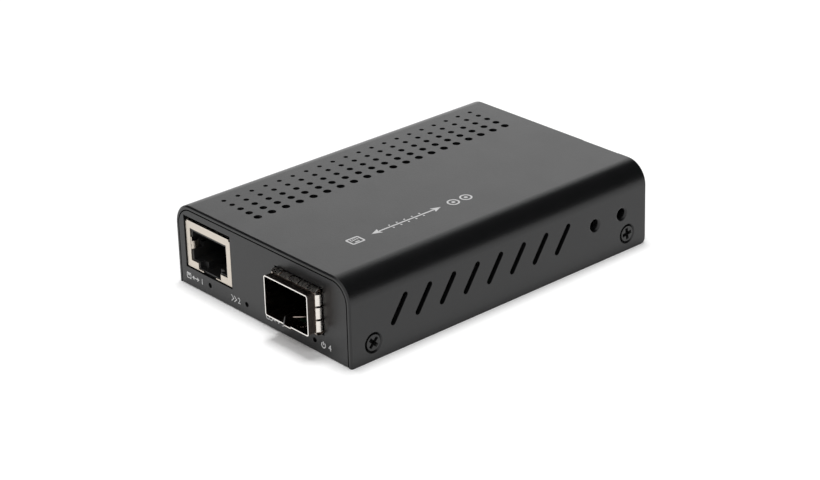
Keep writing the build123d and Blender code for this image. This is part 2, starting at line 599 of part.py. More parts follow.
def cage_tongue():
    """The springy tongue in the cage's underside, dipped at its tip to lead the module in."""
    level = CAGE_BOTTOM + CAGE_SHEET / 2
    root = CAGE_FRONT + TONGUE_LENGTH
    side_view = Polyline((root + 0.5, level), (CAGE_FRONT + TONGUE_TAPER, level),
                         (CAGE_FRONT + 0.1, level - TONGUE_DIP))
    sheet = strip(side_view, CAGE_SHEET, TONGUE_WIDTH, CAGE_X)
    below = Pos(0, 0, CAGE_BOTTOM - 1)
    column = below * extrude(tongue_outline(0), 2)
    joint = block(about(CAGE_X, TONGUE_WIDTH), about(root, 1), (CAGE_BOTTOM, CAGE_BOTTOM + CAGE_SHEET))
    return (sheet & column) + joint - below * extrude(latch_hole(), 2)


def sfp_cage():
    outer = RectangleRounded(CAGE_WIDTH, CAGE_HEIGHT, CAGE_CORNER)
    inner = RectangleRounded(CAGE_WIDTH - 2 * CAGE_SHEET, CAGE_HEIGHT - 2 * CAGE_SHEET,
                             CAGE_CORNER - CAGE_SHEET)
    section = Plane((CAGE_X, CAGE_FRONT, CAGE_MIDDLE_Z), x_dir=(1, 0, 0), z_dir=(0, -1, 0))
    cage = extrude(section * (outer - inner), -CAGE_LENGTH)
    cage += extrude(section.offset(-CAGE_LENGTH + CAGE_SHEET) * outer, -CAGE_SHEET)

    lower = (CAGE_BOTTOM - 1, CAGE_BOTTOM + 2 * CAGE_SHEET)
    upper = CAGE_BOTTOM + CAGE_HEIGHT
    connector_window = block(about(CAGE_X, CAGE_WIDTH - 2 * CAGE_CORNER),
                             (EDGE_FRONT - 0.4, CAGE_REAR + 1), lower)
    tongue_window = Pos(0, 0, CAGE_BOTTOM - 1) * extrude(tongue_outline(TONGUE_SLIT), 1 + 2 * CAGE_SHEET)
    vents = [Pos(x, y, upper) * Cylinder(CAGE_VENT / 2, 2)
             for x in row(CAGE_VENT_COLUMNS, CAGE_VENT_PITCH, CAGE_X)
             for y in row(CAGE_VENT_ROWS, CAGE_VENT_PITCH, CAGE_REAR - CAGE_LENGTH / 3)]
    cage -= [connector_window, tongue_window] + vents
    cage += cage_tongue()
    for side in (-1, 1):
        x_range = about(CAGE_X + side * (CAGE_WIDTH - CAGE_SHEET) / 2, CAGE_SHEET)
        wall_foot = CAGE_BOTTOM + CAGE_CORNER + 0.1
        for y in CAGE_LEG_YS:
            cage += block(x_range, about(y, CAGE_LEG_WIDTH), (BOARD_TOP, wall_foot))
            cage += block(x_range, about(y, CAGE_PIN_WIDTH), (BOARD_UNDERSIDE, wall_foot))
    return cage


def emi_finger():
    """One spring finger: it bows away from the cage, then runs back beside it."""
    low = EMI_GAP + EMI_SHEET / 2
    start = FRONT - EMI_BAND_REAR - 0.1
    end = start + EMI_FINGER_ARC
    foot = (end, low + EMI_FINGER_LIFT)
    arc = ThreePointArc((start, low), ((start + end) / 2, EMI_CREST - EMI_SHEET / 2), foot)
    tail = Line(foot, (end + EMI_FINGER_TAIL, low + EMI_FINGER_LIFT / 2))
    return strip(arc + tail, EMI_SHEET, EMI_PITCH - EMI_SLIT)


def emi_collar():
    inner_width = CAGE_WIDTH + 2 * EMI_GAP
    inner_height = CAGE_HEIGHT + 2 * EMI_GAP
    ring = (RectangleRounded(inner_width + 2 * EMI_SHEET, inner_height + 2 * EMI_SHEET,
                             CAGE_CORNER + EMI_GAP + EMI_SHEET)
            - RectangleRounded(inner_width, inner_height, CAGE_CORNER + EMI_GAP))
    band_plane = Plane((CAGE_X, FRONT - EMI_BAND_FRONT, CAGE_MIDDLE_Z), x_dir=(1, 0, 0), z_dir=(0, -1, 0))
    collar = extrude(band_plane * ring, EMI_BAND_REAR - EMI_BAND_FRONT)
    tongue_gap = TONGUE_WIDTH + 2 * TONGUE_SLIT + 0.4
    collar -= block(about(CAGE_X, tongue_gap), (FRONT - EMI_BAND_FRONT - 1, FRONT),
                    (CAGE_BOTTOM - 1, CAGE_BOTTOM + 0.1))
    finger = emi_finger()
    half_width = CAGE_WIDTH / 2
    half_height = CAGE_HEIGHT / 2
    for across in row(EMI_FINGERS_ACROSS, EMI_PITCH):
        collar += Pos(CAGE_X + across, 0, CAGE_MIDDLE_Z + half_height) * finger
        if abs(across) > tongue_gap / 2:
            collar += Pos(CAGE_X + across, 0, CAGE_MIDDLE_Z - half_height) * Rot(0, 180, 0) * finger
    for up in row(EMI_FINGERS_UP, EMI_PITCH):
        collar += Pos(CAGE_X + half_width, 0, CAGE_MIDDLE_Z + up) * Rot(0, 90, 0) * finger
        collar += Pos(CAGE_X - half_width, 0, CAGE_MIDDLE_Z + up) * Rot(0, -90, 0) * finger
    return collar


def edge_contact_paths():
    """Side views of an upper and a lower contact of the card-edge connector."""
    foot = BOARD_TOP + SEAT + EDGE_CONTACT_THICKNESS / 2
    tip = EDGE_FRONT + EDGE_CONTACT_RECESS
    paths = []
    upper = (1, EDGE_REAR + 0.5, EDGE_REAR + 1.9)
    lower = (-1, EDGE_REAR - 1.6, EDGE_REAR + 0.9)
    for up, riser_y, foot_y in (upper, lower):
        level = EDGE_SLOT_MIDDLE + up * (EDGE_SLOT_HEIGHT + EDGE_CONTACT_THICKNESS) / 2
        paths.append(Polyline((foot_y, foot), (riser_y, foot), (riser_y, level), (tip + 2.0, level),
                              (tip + 0.9, level - up * EDGE_CONTACT_BUMP), (tip, level - up * 0.1)))
    return paths


def edge_contacts(gap=0.0):
    """Both rows, a quarter pitch to either side, so that their feet pass between each other."""
    thickness = EDGE_CONTACT_THICKNESS + 2 * gap
    width = EDGE_CONTACT_WIDTH + 2 * gap
    shift = EDGE_CONTACT_PITCH / 4
    contacts = []
    for path, middle in zip(edge_contact_paths(), (CAGE_X + shift, CAGE_X - shift)):
        contacts += [strip(path, thickness, width, x) for x in row(EDGE_CONTACTS, EDGE_CONTACT_PITCH, middle)]
    return contacts


def sfp_connector():
    body = block(about(CAGE_X, EDGE_WIDTH), (EDGE_FRONT, EDGE_REAR),
                 (BOARD_TOP + SEAT, BOARD_TOP + EDGE_HEIGHT))
    slot = block(about(CAGE_X, EDGE_SLOT_WIDTH), (EDGE_FRONT - 1, EDGE_FRONT + EDGE_SLOT_DEPTH),
                 about(EDGE_SLOT_MIDDLE, EDGE_SLOT_HEIGHT))
    body = chamfer(body.edges().filter_by(Axis.X).group_by(Axis.Y)[0], EDGE_LEAD_IN)
    return body - ([slot] + edge_contacts(CONTACT_GAP))


def jack_axis_plane():
    """A plane on the inlet's face, looking out to the rear."""
    return Plane((JACK_X, JACK_FACE, JACK_AXIS_Z), x_dir=(-1, 0, 0), z_dir=(0, 1, 0))


def jack_spring_path():
    level = JACK_AXIS_Z - JACK_BORE / 2 - 0.6
    tail = JACK_TAIL_YS[0]
    return FilletPolyline((tail, LEAD_END), (tail, level), (tail + 1.6, level),
                          (tail + 3.0, level + 1.0), (tail + 4.6, level + 0.1), radius=0.3)


def dc_jack_housing():
    plane = jack_axis_plane()
    half = JACK_WIDTH / 2
    foot = SEAT - JACK_AXIS
    shoulder = half - JACK_SHOULDER
    outline = make_face(Polyline((-half, foot), (half, foot), (half, shoulder), (shoulder, half),
                                 (-shoulder, half), (-half, shoulder), close=True))
    body = extrude(plane * outline, -JACK_LENGTH)
    body += extrude(plane * Circle(JACK_NOSE / 2), TRAY_SHEET - 0.1)
    body -= plane * Pos(0, 0, 1 - JACK_BORE_DEPTH / 2) * Cylinder(JACK_BORE / 2, JACK_BORE_DEPTH + 2)
    body -= plane * Pos(0, 0, -JACK_LENGTH / 2) * Cylinder(JACK_PIN_SHANK / 2 + SEAT, 2 * JACK_LENGTH)
    return body - strip(jack_spring_path(), JACK_STRIP + 4 * CONTACT_GAP,
                        JACK_STRIP_WIDTH + 2 * CONTACT_GAP, JACK_X)


def dc_jack_pin():
    """A turned pin with a chamfered tip, held by its shank in the housing's rear wall."""
    radius = JACK_PIN / 2
    shoulder = JACK_BORE_DEPTH - SEAT
    length = shoulder - JACK_PIN_RECESS
    pin = Pos(0, 0, -JACK_PIN_RECESS - length / 2) * Cylinder(radius, length)
    pin = chamfer(pin.edges().group_by(Axis.Z)[-1], 0.3 * radius)
    shank_length = JACK_LENGTH + 2 * JACK_STRIP - shoulder
    pin += Pos(0, 0, -shoulder - shank_length / 2) * Cylinder(JACK_PIN_SHANK / 2, shank_length)
    return jack_axis_plane() * pin


def dc_jack_terminal():
    """The flat terminal riveted on the pin's rear end."""
    y = JACK_TAIL_YS[1]
    plate = block(about(JACK_X, JACK_TERMINAL), about(y, JACK_STRIP), about(JACK_AXIS_Z, JACK_TERMINAL))
    plate += block(about(JACK_X, JACK_STRIP_WIDTH), about(y, JACK_STRIP), (LEAD_END, JACK_AXIS_Z))
    return plate - jack_axis_plane() * Pos(0, 0, -JACK_LENGTH) * Cylinder(JACK_PIN_SHANK / 2 + SEAT, 4)


def dc_jack_spring():
    return strip(jack_spring_path(), JACK_STRIP, JACK_STRIP_WIDTH, JACK_X)


def status_light(x):
    """A side-looking light under the board's front edge, with a domed lens at its hole."""
    top = BOARD_UNDERSIDE - SEAT
    front = FRONT + TRAY_SHEET + LIGHT_SETBACK
    body = block(about(x, LIGHT_WIDTH), (front, front + LIGHT_DEPTH), (top - LIGHT_HEIGHT, top))
    lens = Pos(x, front, top - LIGHT_HEIGHT / 2) * Sphere(LIGHT_LENS / 2)
    lens &= block(about(x, LIGHT_LENS), (front - LIGHT_SETBACK, front + 0.2), (top - LIGHT_HEIGHT, top))
    return body + lens


def on_board(x, y, turn):
    return Pos(x, y, BOARD_TOP + SEAT) * Rot(0, 0, turn)


def leaded_chip(size, leads, pitch, reach):
    """A moulded chip with a row of gull-wing leads along both long sides."""
    width, length, height = size
    standoff = 0.1
    middle = standoff + height / 2
    body = Pos(0, 0, middle) * Box(width, length, height)
    body = chamfer(body.edges().filter_by(Axis.Z), 0.2)
    edge = width / 2
    knee = edge + 0.35 * reach
    sole = CHIP_LEAD_THICKNESS / 2
    side_view = Polyline((edge - 0.3, middle), (knee, middle), (knee + 0.1, sole), (edge + reach, sole))
    for y in row(leads, pitch):
        profile = Plane.XZ.offset(-y) * trace(side_view, CHIP_LEAD_THICKNESS)
        body += both_sides(extrude(profile, CHIP_LEAD_WIDTH / 2, both=True))
    return body


def small_leaded_chip():
    return leaded_chip(SMALL_CHIP_SIZE, leads=4, pitch=1.27, reach=1.0)


def converter_chip():
    """A flat leadless chip with a dimple over its first pad."""
    width, length, height = CONVERTER_CHIP_SIZE
    body = Pos(0, 0, height / 2) * Box(width, length, height)
    body = chamfer(body.edges().group_by(Axis.Z)[-1], 0.15)
    inset = 1.1
    return body - Pos(inset - width / 2, length / 2 - inset, height) * Cylinder(inset / 2, 0.16)


def clock_crystal():
    can = extrude(SlotOverall(CRYSTAL_LENGTH, CRYSTAL_WIDTH), CRYSTAL_HEIGHT)
    can = chamfer(can.edges().group_by(Axis.Z)[-1], 0.3)
    flange = SlotOverall(CRYSTAL_LENGTH + 2 * CRYSTAL_FLANGE, CRYSTAL_WIDTH + 2 * CRYSTAL_FLANGE)
    return can + extrude(flange, CRYSTAL_FLANGE)


def power_inductor():
    """A pressed ferrite block with a ring moulded into its top."""
    width, length, height = INDUCTOR_SIZE
    core = extrude(RectangleRounded(width, length, 1.2), height)
    core = chamfer(core.edges().group_by(Axis.Z)[-1], 0.3)
    ring = Circle(width / 2 - 0.5) - Circle(width / 2 - 1.1)
    return core - extrude(Pos(0, 0, height) * ring, 0.25, both=True)


def bulk_capacitor():
    """A can with a crimped groove on a square base with two cut corners."""
    half = CAN_BASE / 2
    corner = Rot(0, 0, 45) * Rectangle(1.4, 1.4)
    base = extrude(Rectangle(CAN_BASE, CAN_BASE) - [Pos(half, half) * corner, Pos(half, -half) * corner], 0.8)
    groove = 0.25
    groove_z = 1.85
    profile = make_face(Polyline(
        (0, 0.7), (CAN_RADIUS, 0.7), (CAN_RADIUS, groove_z - groove), (CAN_RADIUS - groove, groove_z),
        (CAN_RADIUS, groove_z + groove), (CAN_RADIUS, CAN_HEIGHT - 0.2), (CAN_RADIUS - 0.2, CAN_HEIGHT),
        (0, CAN_HEIGHT), close=True))
    return base + revolve(Plane.XZ * profile, Axis.Z)


def two_ended_chips(spots, size):
    """Small chips, each a block with slightly raised end caps."""
    length, width, height = size
    cap = 0.25 * length
    proud = 0.04
    body = Pos(0, 0, height / 2) * Box(length, width - proud, height - proud)
    for side in (-1, 1):
        body += Pos(side * (length - cap) / 2, 0, height / 2) * Box(cap, width, height)
    return Compound(children=[on_board(x, y, turn) * body for x, y, turn in spots])


def chip_resistors():
    beside_chip = [(CHIP_X + 7.6, y, 0) for y in row(6, 1.6, CHIP_Y - 0.8)]
    behind_port = [(x, CHIP_Y - 7.4, 90) for x in row(3, 2.4, CHIP_X - 8.4)]
    return two_ended_chips(beside_chip + behind_port, RESISTOR_SIZE)


def ceramic_capacitors():
    behind_chip = [(x, CHIP_Y + 7.4, 90) for x in row(4, 2.4, CHIP_X)]
    by_regulator = [(RIGHT_RIM - 16.6, y, 0) for y in row(3, 2.0, REAR_RIM - 21.0)]
    return two_ended_chips(behind_chip + by_regulator, CERAMIC_SIZE)


pieces = {
    "cover": cover(),
    "base_tray": base_tray(),
    "side_screws": side_screws(),
    "circuit_board": circuit_board(),
    "standoffs": standoffs(),
    "board_screws": board_screws(),
    "rj45_shield": rj45_shield(),
    "rj45_housing": rj45_housing(),
    "rj45_contacts": Compound(children=port_contacts()),
    "sfp_cage": sfp_cage(),
    "emi_collar": emi_collar(),
    "sfp_connector": sfp_connector(),
    "sfp_contacts": Compound(children=edge_contacts()),
    "dc_jack_housing": dc_jack_housing(),
    "dc_jack_pin": dc_jack_pin(),
    "dc_jack_terminal": dc_jack_terminal(),
    "dc_jack_spring": dc_jack_spring(),
    "chip_resistors": chip_resistors(),
    "ceramic_capacitors": ceramic_capacitors(),
}
on_their_spots = {
    "transformer": leaded_chip(TRANSFORMER_SIZE, leads=12, pitch=1.2, reach=1.3),
    "converter_chip": converter_chip(),
    "clock_crystal": clock_crystal(),
    "memory_chip": small_leaded_chip(),
    "regulator_chip": small_leaded_chip(),
    "power_inductor": power_inductor(),
    "bulk_capacitor_1": bulk_capacitor(),
    "bulk_capacitor_2": bulk_capacitor(),
}
for node, shape in on_their_spots.items():
    pieces[node] = on_board(*SPOTS[node]) * shape
for number, light_x in enumerate(LIGHT_XS, start=1):
    pieces[f"status_led_{number}"] = status_light(light_x)

os.makedirs("parts", exist_ok=True)
for node, shape in pieces.items():
    export_step(shape, f"parts/{node}.step")
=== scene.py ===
import json
from math import atan2, copysign, cos, hypot, pi, radians, sin

import bmesh
import bpy
from mathutils import Matrix, Vector


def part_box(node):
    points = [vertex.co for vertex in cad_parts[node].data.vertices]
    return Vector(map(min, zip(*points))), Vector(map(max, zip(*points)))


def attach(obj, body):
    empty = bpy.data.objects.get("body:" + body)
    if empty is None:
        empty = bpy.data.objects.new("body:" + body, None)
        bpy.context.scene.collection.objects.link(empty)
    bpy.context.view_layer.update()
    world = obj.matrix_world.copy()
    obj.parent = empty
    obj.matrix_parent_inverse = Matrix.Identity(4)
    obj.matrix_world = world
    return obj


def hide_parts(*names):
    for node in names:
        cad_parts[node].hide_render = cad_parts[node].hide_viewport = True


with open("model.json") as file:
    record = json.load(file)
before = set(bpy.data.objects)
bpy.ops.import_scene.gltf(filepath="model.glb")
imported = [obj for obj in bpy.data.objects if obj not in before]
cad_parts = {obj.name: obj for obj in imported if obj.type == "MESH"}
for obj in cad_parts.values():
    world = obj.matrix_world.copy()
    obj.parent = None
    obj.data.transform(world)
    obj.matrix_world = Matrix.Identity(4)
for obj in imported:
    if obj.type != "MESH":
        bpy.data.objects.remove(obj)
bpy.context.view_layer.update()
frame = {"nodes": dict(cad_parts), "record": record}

# Fibre media converter: finishes, fine edges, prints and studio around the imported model.
# Lengths below are in millimetres and are multiplied by MM where a mesh is made.
MM = 0.001


def mm(vector):
    return Vector(vector) / MM


# Case, read from the frame
case_low, case_high = (mm(corner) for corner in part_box("cover"))
cage_low, cage_high = (mm(corner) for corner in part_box("sfp_cage"))
screws_low, screws_high = (mm(corner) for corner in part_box("side_screws"))
CASE_RIGHT = case_high.x
CASE_LEFT = case_low.x
CASE_FRONT = case_low.y
CASE_REAR = case_high.y
CASE_TOP = case_high.z
mounts = {mount["name"]: mount for mount in frame["record"]["mounts"]}
bracket = mounts["bracket_holes_right"]
BRACKET_Z = bracket["pos_m"][2] / MM
BRACKET_SPACING = bracket["dims"]["spacing_x_mm"]
BRACKET_YS = [bracket["pos_m"][1] / MM + side * BRACKET_SPACING / 2 for side in (-1, 1)]
BRACKET_RADIUS = bracket["dims"]["hole_r_mm"]
JACK_X = mounts["dc_pin"]["pos_m"][0] / MM
SCREW_RADIUS = (screws_high.z - screws_low.z) / 2
SCREW_Z = (screws_high.z + screws_low.z) / 2
SCREW_YS = (screws_low.y + SCREW_RADIUS, screws_high.y - SCREW_RADIUS)
CAGE_X = (cage_low.x + cage_high.x) / 2
port_low, port_high = (mm(corner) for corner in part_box("rj45_shield"))
PORT_X = (port_low.x + port_high.x) / 2
PORT_FACE = port_low.y
CAGE_WIDTH = cage_high.x - cage_low.x

# Tools
PAST = 1.0                  # a cutting shape reaches this far past the face that it cuts
NEAR = 0.01                 # what lies nearer than this counts as lying there
WELD = 0.001                # corners nearer than this are made one before a rounding
FLAT_WITHIN = 0.3           # faces within this many degrees of each other are made one before it

# Cover
SHEET = 0.92                # its edge as it shows; the seam under it is a little wider
BEND = 5.5
BEND_STEPS = 18
REAR_CORNER = 1.5
EDGE_FLAT = (0.3, 0.38)     # flat along the front and rear edges: back from the end, and inwards
HOLE_ROUNDING = 0.1
COLLAR_WALL = 0.5           # of the drawn collar behind a bore
COLLAR_DEPTH = 0.8
COLLAR_ROOT = 0.5           # it starts this deep in the sheet
MOUTH_ROUNDING = 0.65
BORE_DEPTH = 3.0
SINK_MOUTH = 2.44           # radius of a screw's countersink at the cover's face
SINK_DEPTH = 1.0
HEAD_EDGE = 0.16            # height of the straight edge that the screw's head has in its cone
HEAD_FLUSH = 0.02           # the head's face lies this far below the cover's
CROSS_GROWTH = 1.14
NOTCH_WIDTH = 11.2
NOTCH_DEPTH = 0.4

# Vents in the top, smallest in the column nearest the left side
VENT_COLUMNS = 5
VENT_ROWS = 20
VENT_COLUMN_PITCH = 3.05
VENT_ROW_PITCH = 3.97
VENT_INSET_X = 8.35
VENT_INSET_Y = 7.5
VENT_SMALLEST = 1.1
VENT_STEP = 0.2
VENT_SIDES = 28

# Leaning slots in the sides
SLOT_COUNT = 8
SLOT_PITCH = 7.0
SLOT_INSET_Y = 11.81
SLOT_FOOT_Z = 7.02
SLOT_RISE = 5.25
SLOT_LEAN = 3.5
SLOT_WIDTH = 1.4

# Copper port: widths from its middle, depths from its face, heights from the shield's foot
PORT_HEIGHT = 11.4
PORT_FOOT = port_high.z - PORT_HEIGHT
MOUTH_HALF = 6.575
SHIELD_SHEET = 0.25
CAD_SPRING_ROOM = ((5.3, MOUTH_HALF + 0.5), (SHIELD_SHEET + 0.001, 5.6), (5.4, 7.6))
SPRING_SPAN = (4.45, 6.3)
SPRING_SHEET = 0.2
SPRING_START = 0.1
SPRING_LENGTH = 2.0
SPRING_ROOT = 0.12          # the tab's ends lie this far outside the mouth's edge
SPRING_BOW = 0.42
SPRING_STEPS = 10
POCKET_WIDTH = (5.2, MOUTH_HALF + 0.4)
POCKET_DEPTH = 3.0
POCKET_ROOM = 0.15          # above and below a tab

# Spring collar round the module cage
CAGE_BOTTOM = 5.6
CAGE_HEIGHT = 9.55
CAGE_CORNER = 0.6
CAGE_EDGE_HIGHLIGHT = 0.14             # depth of the painted highlight along the cut edge round the mouth
COLLAR_SHEET = 0.12
COLLAR_GAP = 0.03
COLLAR_BAND = (1.5, 1.1)    # both in front of the panel's face
FINGER_START = 1.6
FINGER_PITCH = 3.05
FINGER_WIDTH = 2.58
FINGER_CREST = 0.6
FINGER_ARC = 1.9
FINGER_TAIL = 0.8
FINGER_LIFT = 0.12          # how much higher the arc ends than it starts
FINGER_REST = 0.06          # the tail's height over the arc's start
FINGER_STEPS = 14
FINGERS_ACROSS = 5
FINGERS_UP = 3
TONGUE_CLEAR = 3.75         # half the gap that the cage's tongue needs

# Prints
INK_HEIGHT = 0.012
MARK_HEIGHT = 1.5
MARK_Z = 2.5
MARK_LINE = 0.24
SIZE_OF_FIGURE = 1.38       # a font's size for a figure one high
SIGN_X = 14.85              # middle of the pictogram strip on the top
SIGN_Y = -14.0
SIGN_HEIGHT = 3.0
LINE = 0.42

# Camera, solved from the photograph's corners
CAMERA_PLACE = (339.239, -300.769, 216.221)
CAMERA_AZIMUTH = 48.586
CAMERA_ELEVATION = 24.947
CAMERA_ROLL = -1.3245
CAMERA_LENS = 95.767


class Value:
    """One output of a node. Arithmetic on it adds Math nodes to its tree."""

    def __init__(self, graph, socket):
        self.graph = graph
        self.socket = socket

    def __add__(self, other):
        return self.graph.maths("ADD", self, other)

    def __sub__(self, other):
        return self.graph.maths("SUBTRACT", self, other)

    def __rsub__(self, other):
        return self.graph.maths("SUBTRACT", other, self)

    def __mul__(self, other):
        return self.graph.maths("MULTIPLY", self, other)

    def __truediv__(self, other):
        return self.graph.maths("DIVIDE", self, other)

    __radd__ = __add__
    __rmul__ = __mul__


class Graph:
    """A node tree that is filled by plain calls."""

    def __init__(self, tree):
        self.tree = tree
        self.tree.nodes.clear()

    def add(self, kind, settings=None, inputs=None, out=0):
        """One node: its settings first, then its sockets' values or links. Gives one of its outputs."""
        node = self.tree.nodes.new(kind)
        for name, setting in (settings or {}).items():
            setattr(node, name, setting)
        for name, value in (inputs or {}).items():
            if isinstance(value, Value):
                self.tree.links.new(value.socket, node.inputs[name])
            else:
                node.inputs[name].default_value = value
        return Value(self, node.outputs[out]) if node.outputs else node

    def maths(self, operation, first, second=0.0):
        return self.add("ShaderNodeMath", {"operation": operation}, {0: first, 1: second})

    def vector(self, operation, first, second):
        name = "Scale" if operation == "SCALE" else 1
        return self.add("ShaderNodeVectorMath", {"operation": operation}, {0: first, name: second})

    def noise(self, size, detail=2.0, roughness=0.5, stretch=(1, 1, 1)):
        """A cloud pattern fixed to the piece, with features of the given size in millimetres."""
        place = self.add("ShaderNodeTexCoord", out="Object")
        place = self.add("ShaderNodeMapping", {}, {"Vector": place, "Scale": stretch})
        return self.add("ShaderNodeTexNoise", {}, {"Vector": place, "Scale": 1 / (size * MM),
                                                   "Detail": detail, "Roughness": roughness}, out="Fac")

    def ranged(self, value, low, high, start=0.0, end=1.0):
        """A value carried from one range to another, and kept within it."""
        return self.add("ShaderNodeMapRange", {}, {"Value": value, "From Min": low, "From Max": high,
                                                   "To Min": start, "To Max": end})

    def mixed(self, factor, first, second):
        """Two colours mixed by a factor."""
        return self.add("ShaderNodeMix", {"data_type": "RGBA"}, {0: factor, 6: first, 7: second}, out=2)

    def bump(self, height, depth):
        """Relief of the given depth in millimetres."""
        return self.add("ShaderNodeBump", {}, {"Height": height, "Distance": depth * MM, "Strength": 1.0})


def colour(red, green, blue):
    return (red, green, blue, 1.0)


def grey(level):
    return colour(level, level, level)


def finish(name, make):
    """A material whose Principled inputs come from make(graph)."""
    material = bpy.data.materials.new(name)
    material.use_nodes = True
    graph = Graph(material.node_tree)
    shader = graph.add("ShaderNodeBsdfPrincipled", {}, make(graph))
    graph.add("ShaderNodeOutputMaterial", {}, {"Surface": shader})
    return material


def black_paint(graph):
    """Fine semi-matt powder coat: pin-point relief, and a faint unevenness of sheen."""
    grain = graph.noise(0.32, detail=3.0, roughness=0.6)
    cloud = graph.noise(9.0, detail=3.0)
    return {
        "Base Color": graph.mixed(grain, colour(0.003, 0.0031, 0.0034), colour(0.006, 0.0061, 0.0065)),
        "Roughness": graph.ranged(cloud, 0.3, 0.7, 0.3, 0.33) + (grain - 0.5) * 0.1,
        "Normal": graph.bump(grain, 0.024),
        "IOR": 1.47,
    }


def blackened_steel(graph):
    scratch = graph.noise(0.5, detail=4.0, stretch=(1, 1, 6))
    return {
        "Base Color": graph.mixed(scratch, grey(0.004), grey(0.01)),
        "Roughness": graph.ranged(scratch, 0.3, 0.7, 0.26, 0.38),
        "Metallic": 0.0,
        "Normal": graph.bump(scratch, 0.004),
        "IOR": 1.47,
    }


def plate(light, dark, rough, grain_size, relief, stretch=(1, 1, 1)):
    """Plated or rolled sheet metal, with a grain that may run one way. Sizes are in millimetres."""
    def make(graph):
        grain = graph.noise(grain_size, detail=4.0, roughness=0.6, stretch=stretch)
        cloud = graph.noise(4.0, detail=2.0)
        return {
            "Base Color": graph.mixed(cloud, dark, light),
            "Metallic": 1.0,
            "Roughness": graph.ranged(grain, 0.3, 0.7, rough - 0.05, rough + 0.07),
            "Normal": graph.bump(grain, relief),
        }
    return make


def cage_plate(graph):
    """Rolled plate in a dark brown tone, with a painted highlight: a pale band along the cut edge round the
    mouth.
    """
    grain = graph.noise(0.6, detail=4.0, roughness=0.6, stretch=(1, 0.15, 1))
    cloud = graph.noise(4.0, detail=2.0)
    place = graph.add("ShaderNodeTexCoord", out="Object")
    along = graph.add("ShaderNodeSeparateXYZ", {}, {"Vector": place}, out="Y")
    # Painted highlight: a thin band behind the mouth gets a pale colour that stands in for light on the cut
    # edge, and the rest of the plate gets the dark tone.
    rim = (cage_low.y + CAGE_EDGE_HIGHLIGHT) * MM
    blur = 0.02 * MM
    past_highlight = graph.ranged(along, rim - blur, rim + blur)
    body_tone = graph.mixed(cloud, colour(0.26, 0.21, 0.18), colour(0.34, 0.29, 0.26))
    return {
        "Base Color": graph.mixed(past_highlight, colour(0.87, 0.84, 0.8), body_tone),
        "Metallic": 1.0,
        "Roughness": graph.ranged(grain, 0.3, 0.7, 0.13, 0.24),
        "Normal": graph.bump(grain, 0.0004),
    }


def moulded(light, dark, rough, relief=0.004, size=0.15):
    """Moulded resin, plastic or ceramic with a fine grain."""
    def make(graph):
        grain = graph.noise(size, detail=3.0)
        cloud = graph.noise(2.5, detail=2.0)
        return {
            "Base Color": graph.mixed(cloud, dark, light),
            "Roughness": graph.ranged(grain, 0.3, 0.7, rough - 0.06, rough + 0.06),
            "Normal": graph.bump(grain, relief),
        }
    return make


def board_laminate(graph):
    """Green solder mask over a faint weave."""
    warp = graph.noise(0.35, detail=1.0, stretch=(1, 0.25, 1))
    weave = warp * graph.noise(0.35, detail=1.0, stretch=(0.25, 1, 1))
    return {
        "Base Color": graph.mixed(graph.ranged(weave, 0.15, 0.35), colour(0.003, 0.016, 0.008),
                                  colour(0.005, 0.028, 0.014)),
        "Roughness": graph.ranged(weave, 0.1, 0.4, 0.3, 0.4),
        "Normal": graph.bump(weave, 0.01),
    }


def printed_ink(graph):
    """White screen print, a little thin in places."""
    speckle = graph.noise(0.12, detail=3.0)
    return {
        "Base Color": graph.mixed(graph.ranged(speckle, 0.3, 0.7), grey(0.5), grey(0.78)),
        "Roughness": graph.ranged(speckle, 0.3, 0.7, 0.5, 0.65),
        "Normal": graph.bump(speckle, 0.003),
    }


def top_ink(graph):
    """The paler grey print on the top, worn thin by the paint's grain."""
    speckle = graph.noise(0.15, detail=3.0)
    return {
        "Base Color": graph.mixed(graph.ranged(speckle, 0.3, 0.7), grey(0.38), grey(0.62)),
        "Roughness": graph.ranged(speckle, 0.3, 0.7, 0.45, 0.6),
        "Normal": graph.bump(speckle, 0.003),
    }


def cast_lens(graph):
    """Milky clear resin over an unlit chip."""
    haze = graph.noise(0.4, detail=2.0)
    return {
        "Base Color": graph.mixed(haze, colour(0.3, 0.31, 0.28), colour(0.42, 0.43, 0.38)),
        "Roughness": graph.ranged(haze, 0.3, 0.7, 0.12, 0.2),
        "IOR": 1.52,
    }


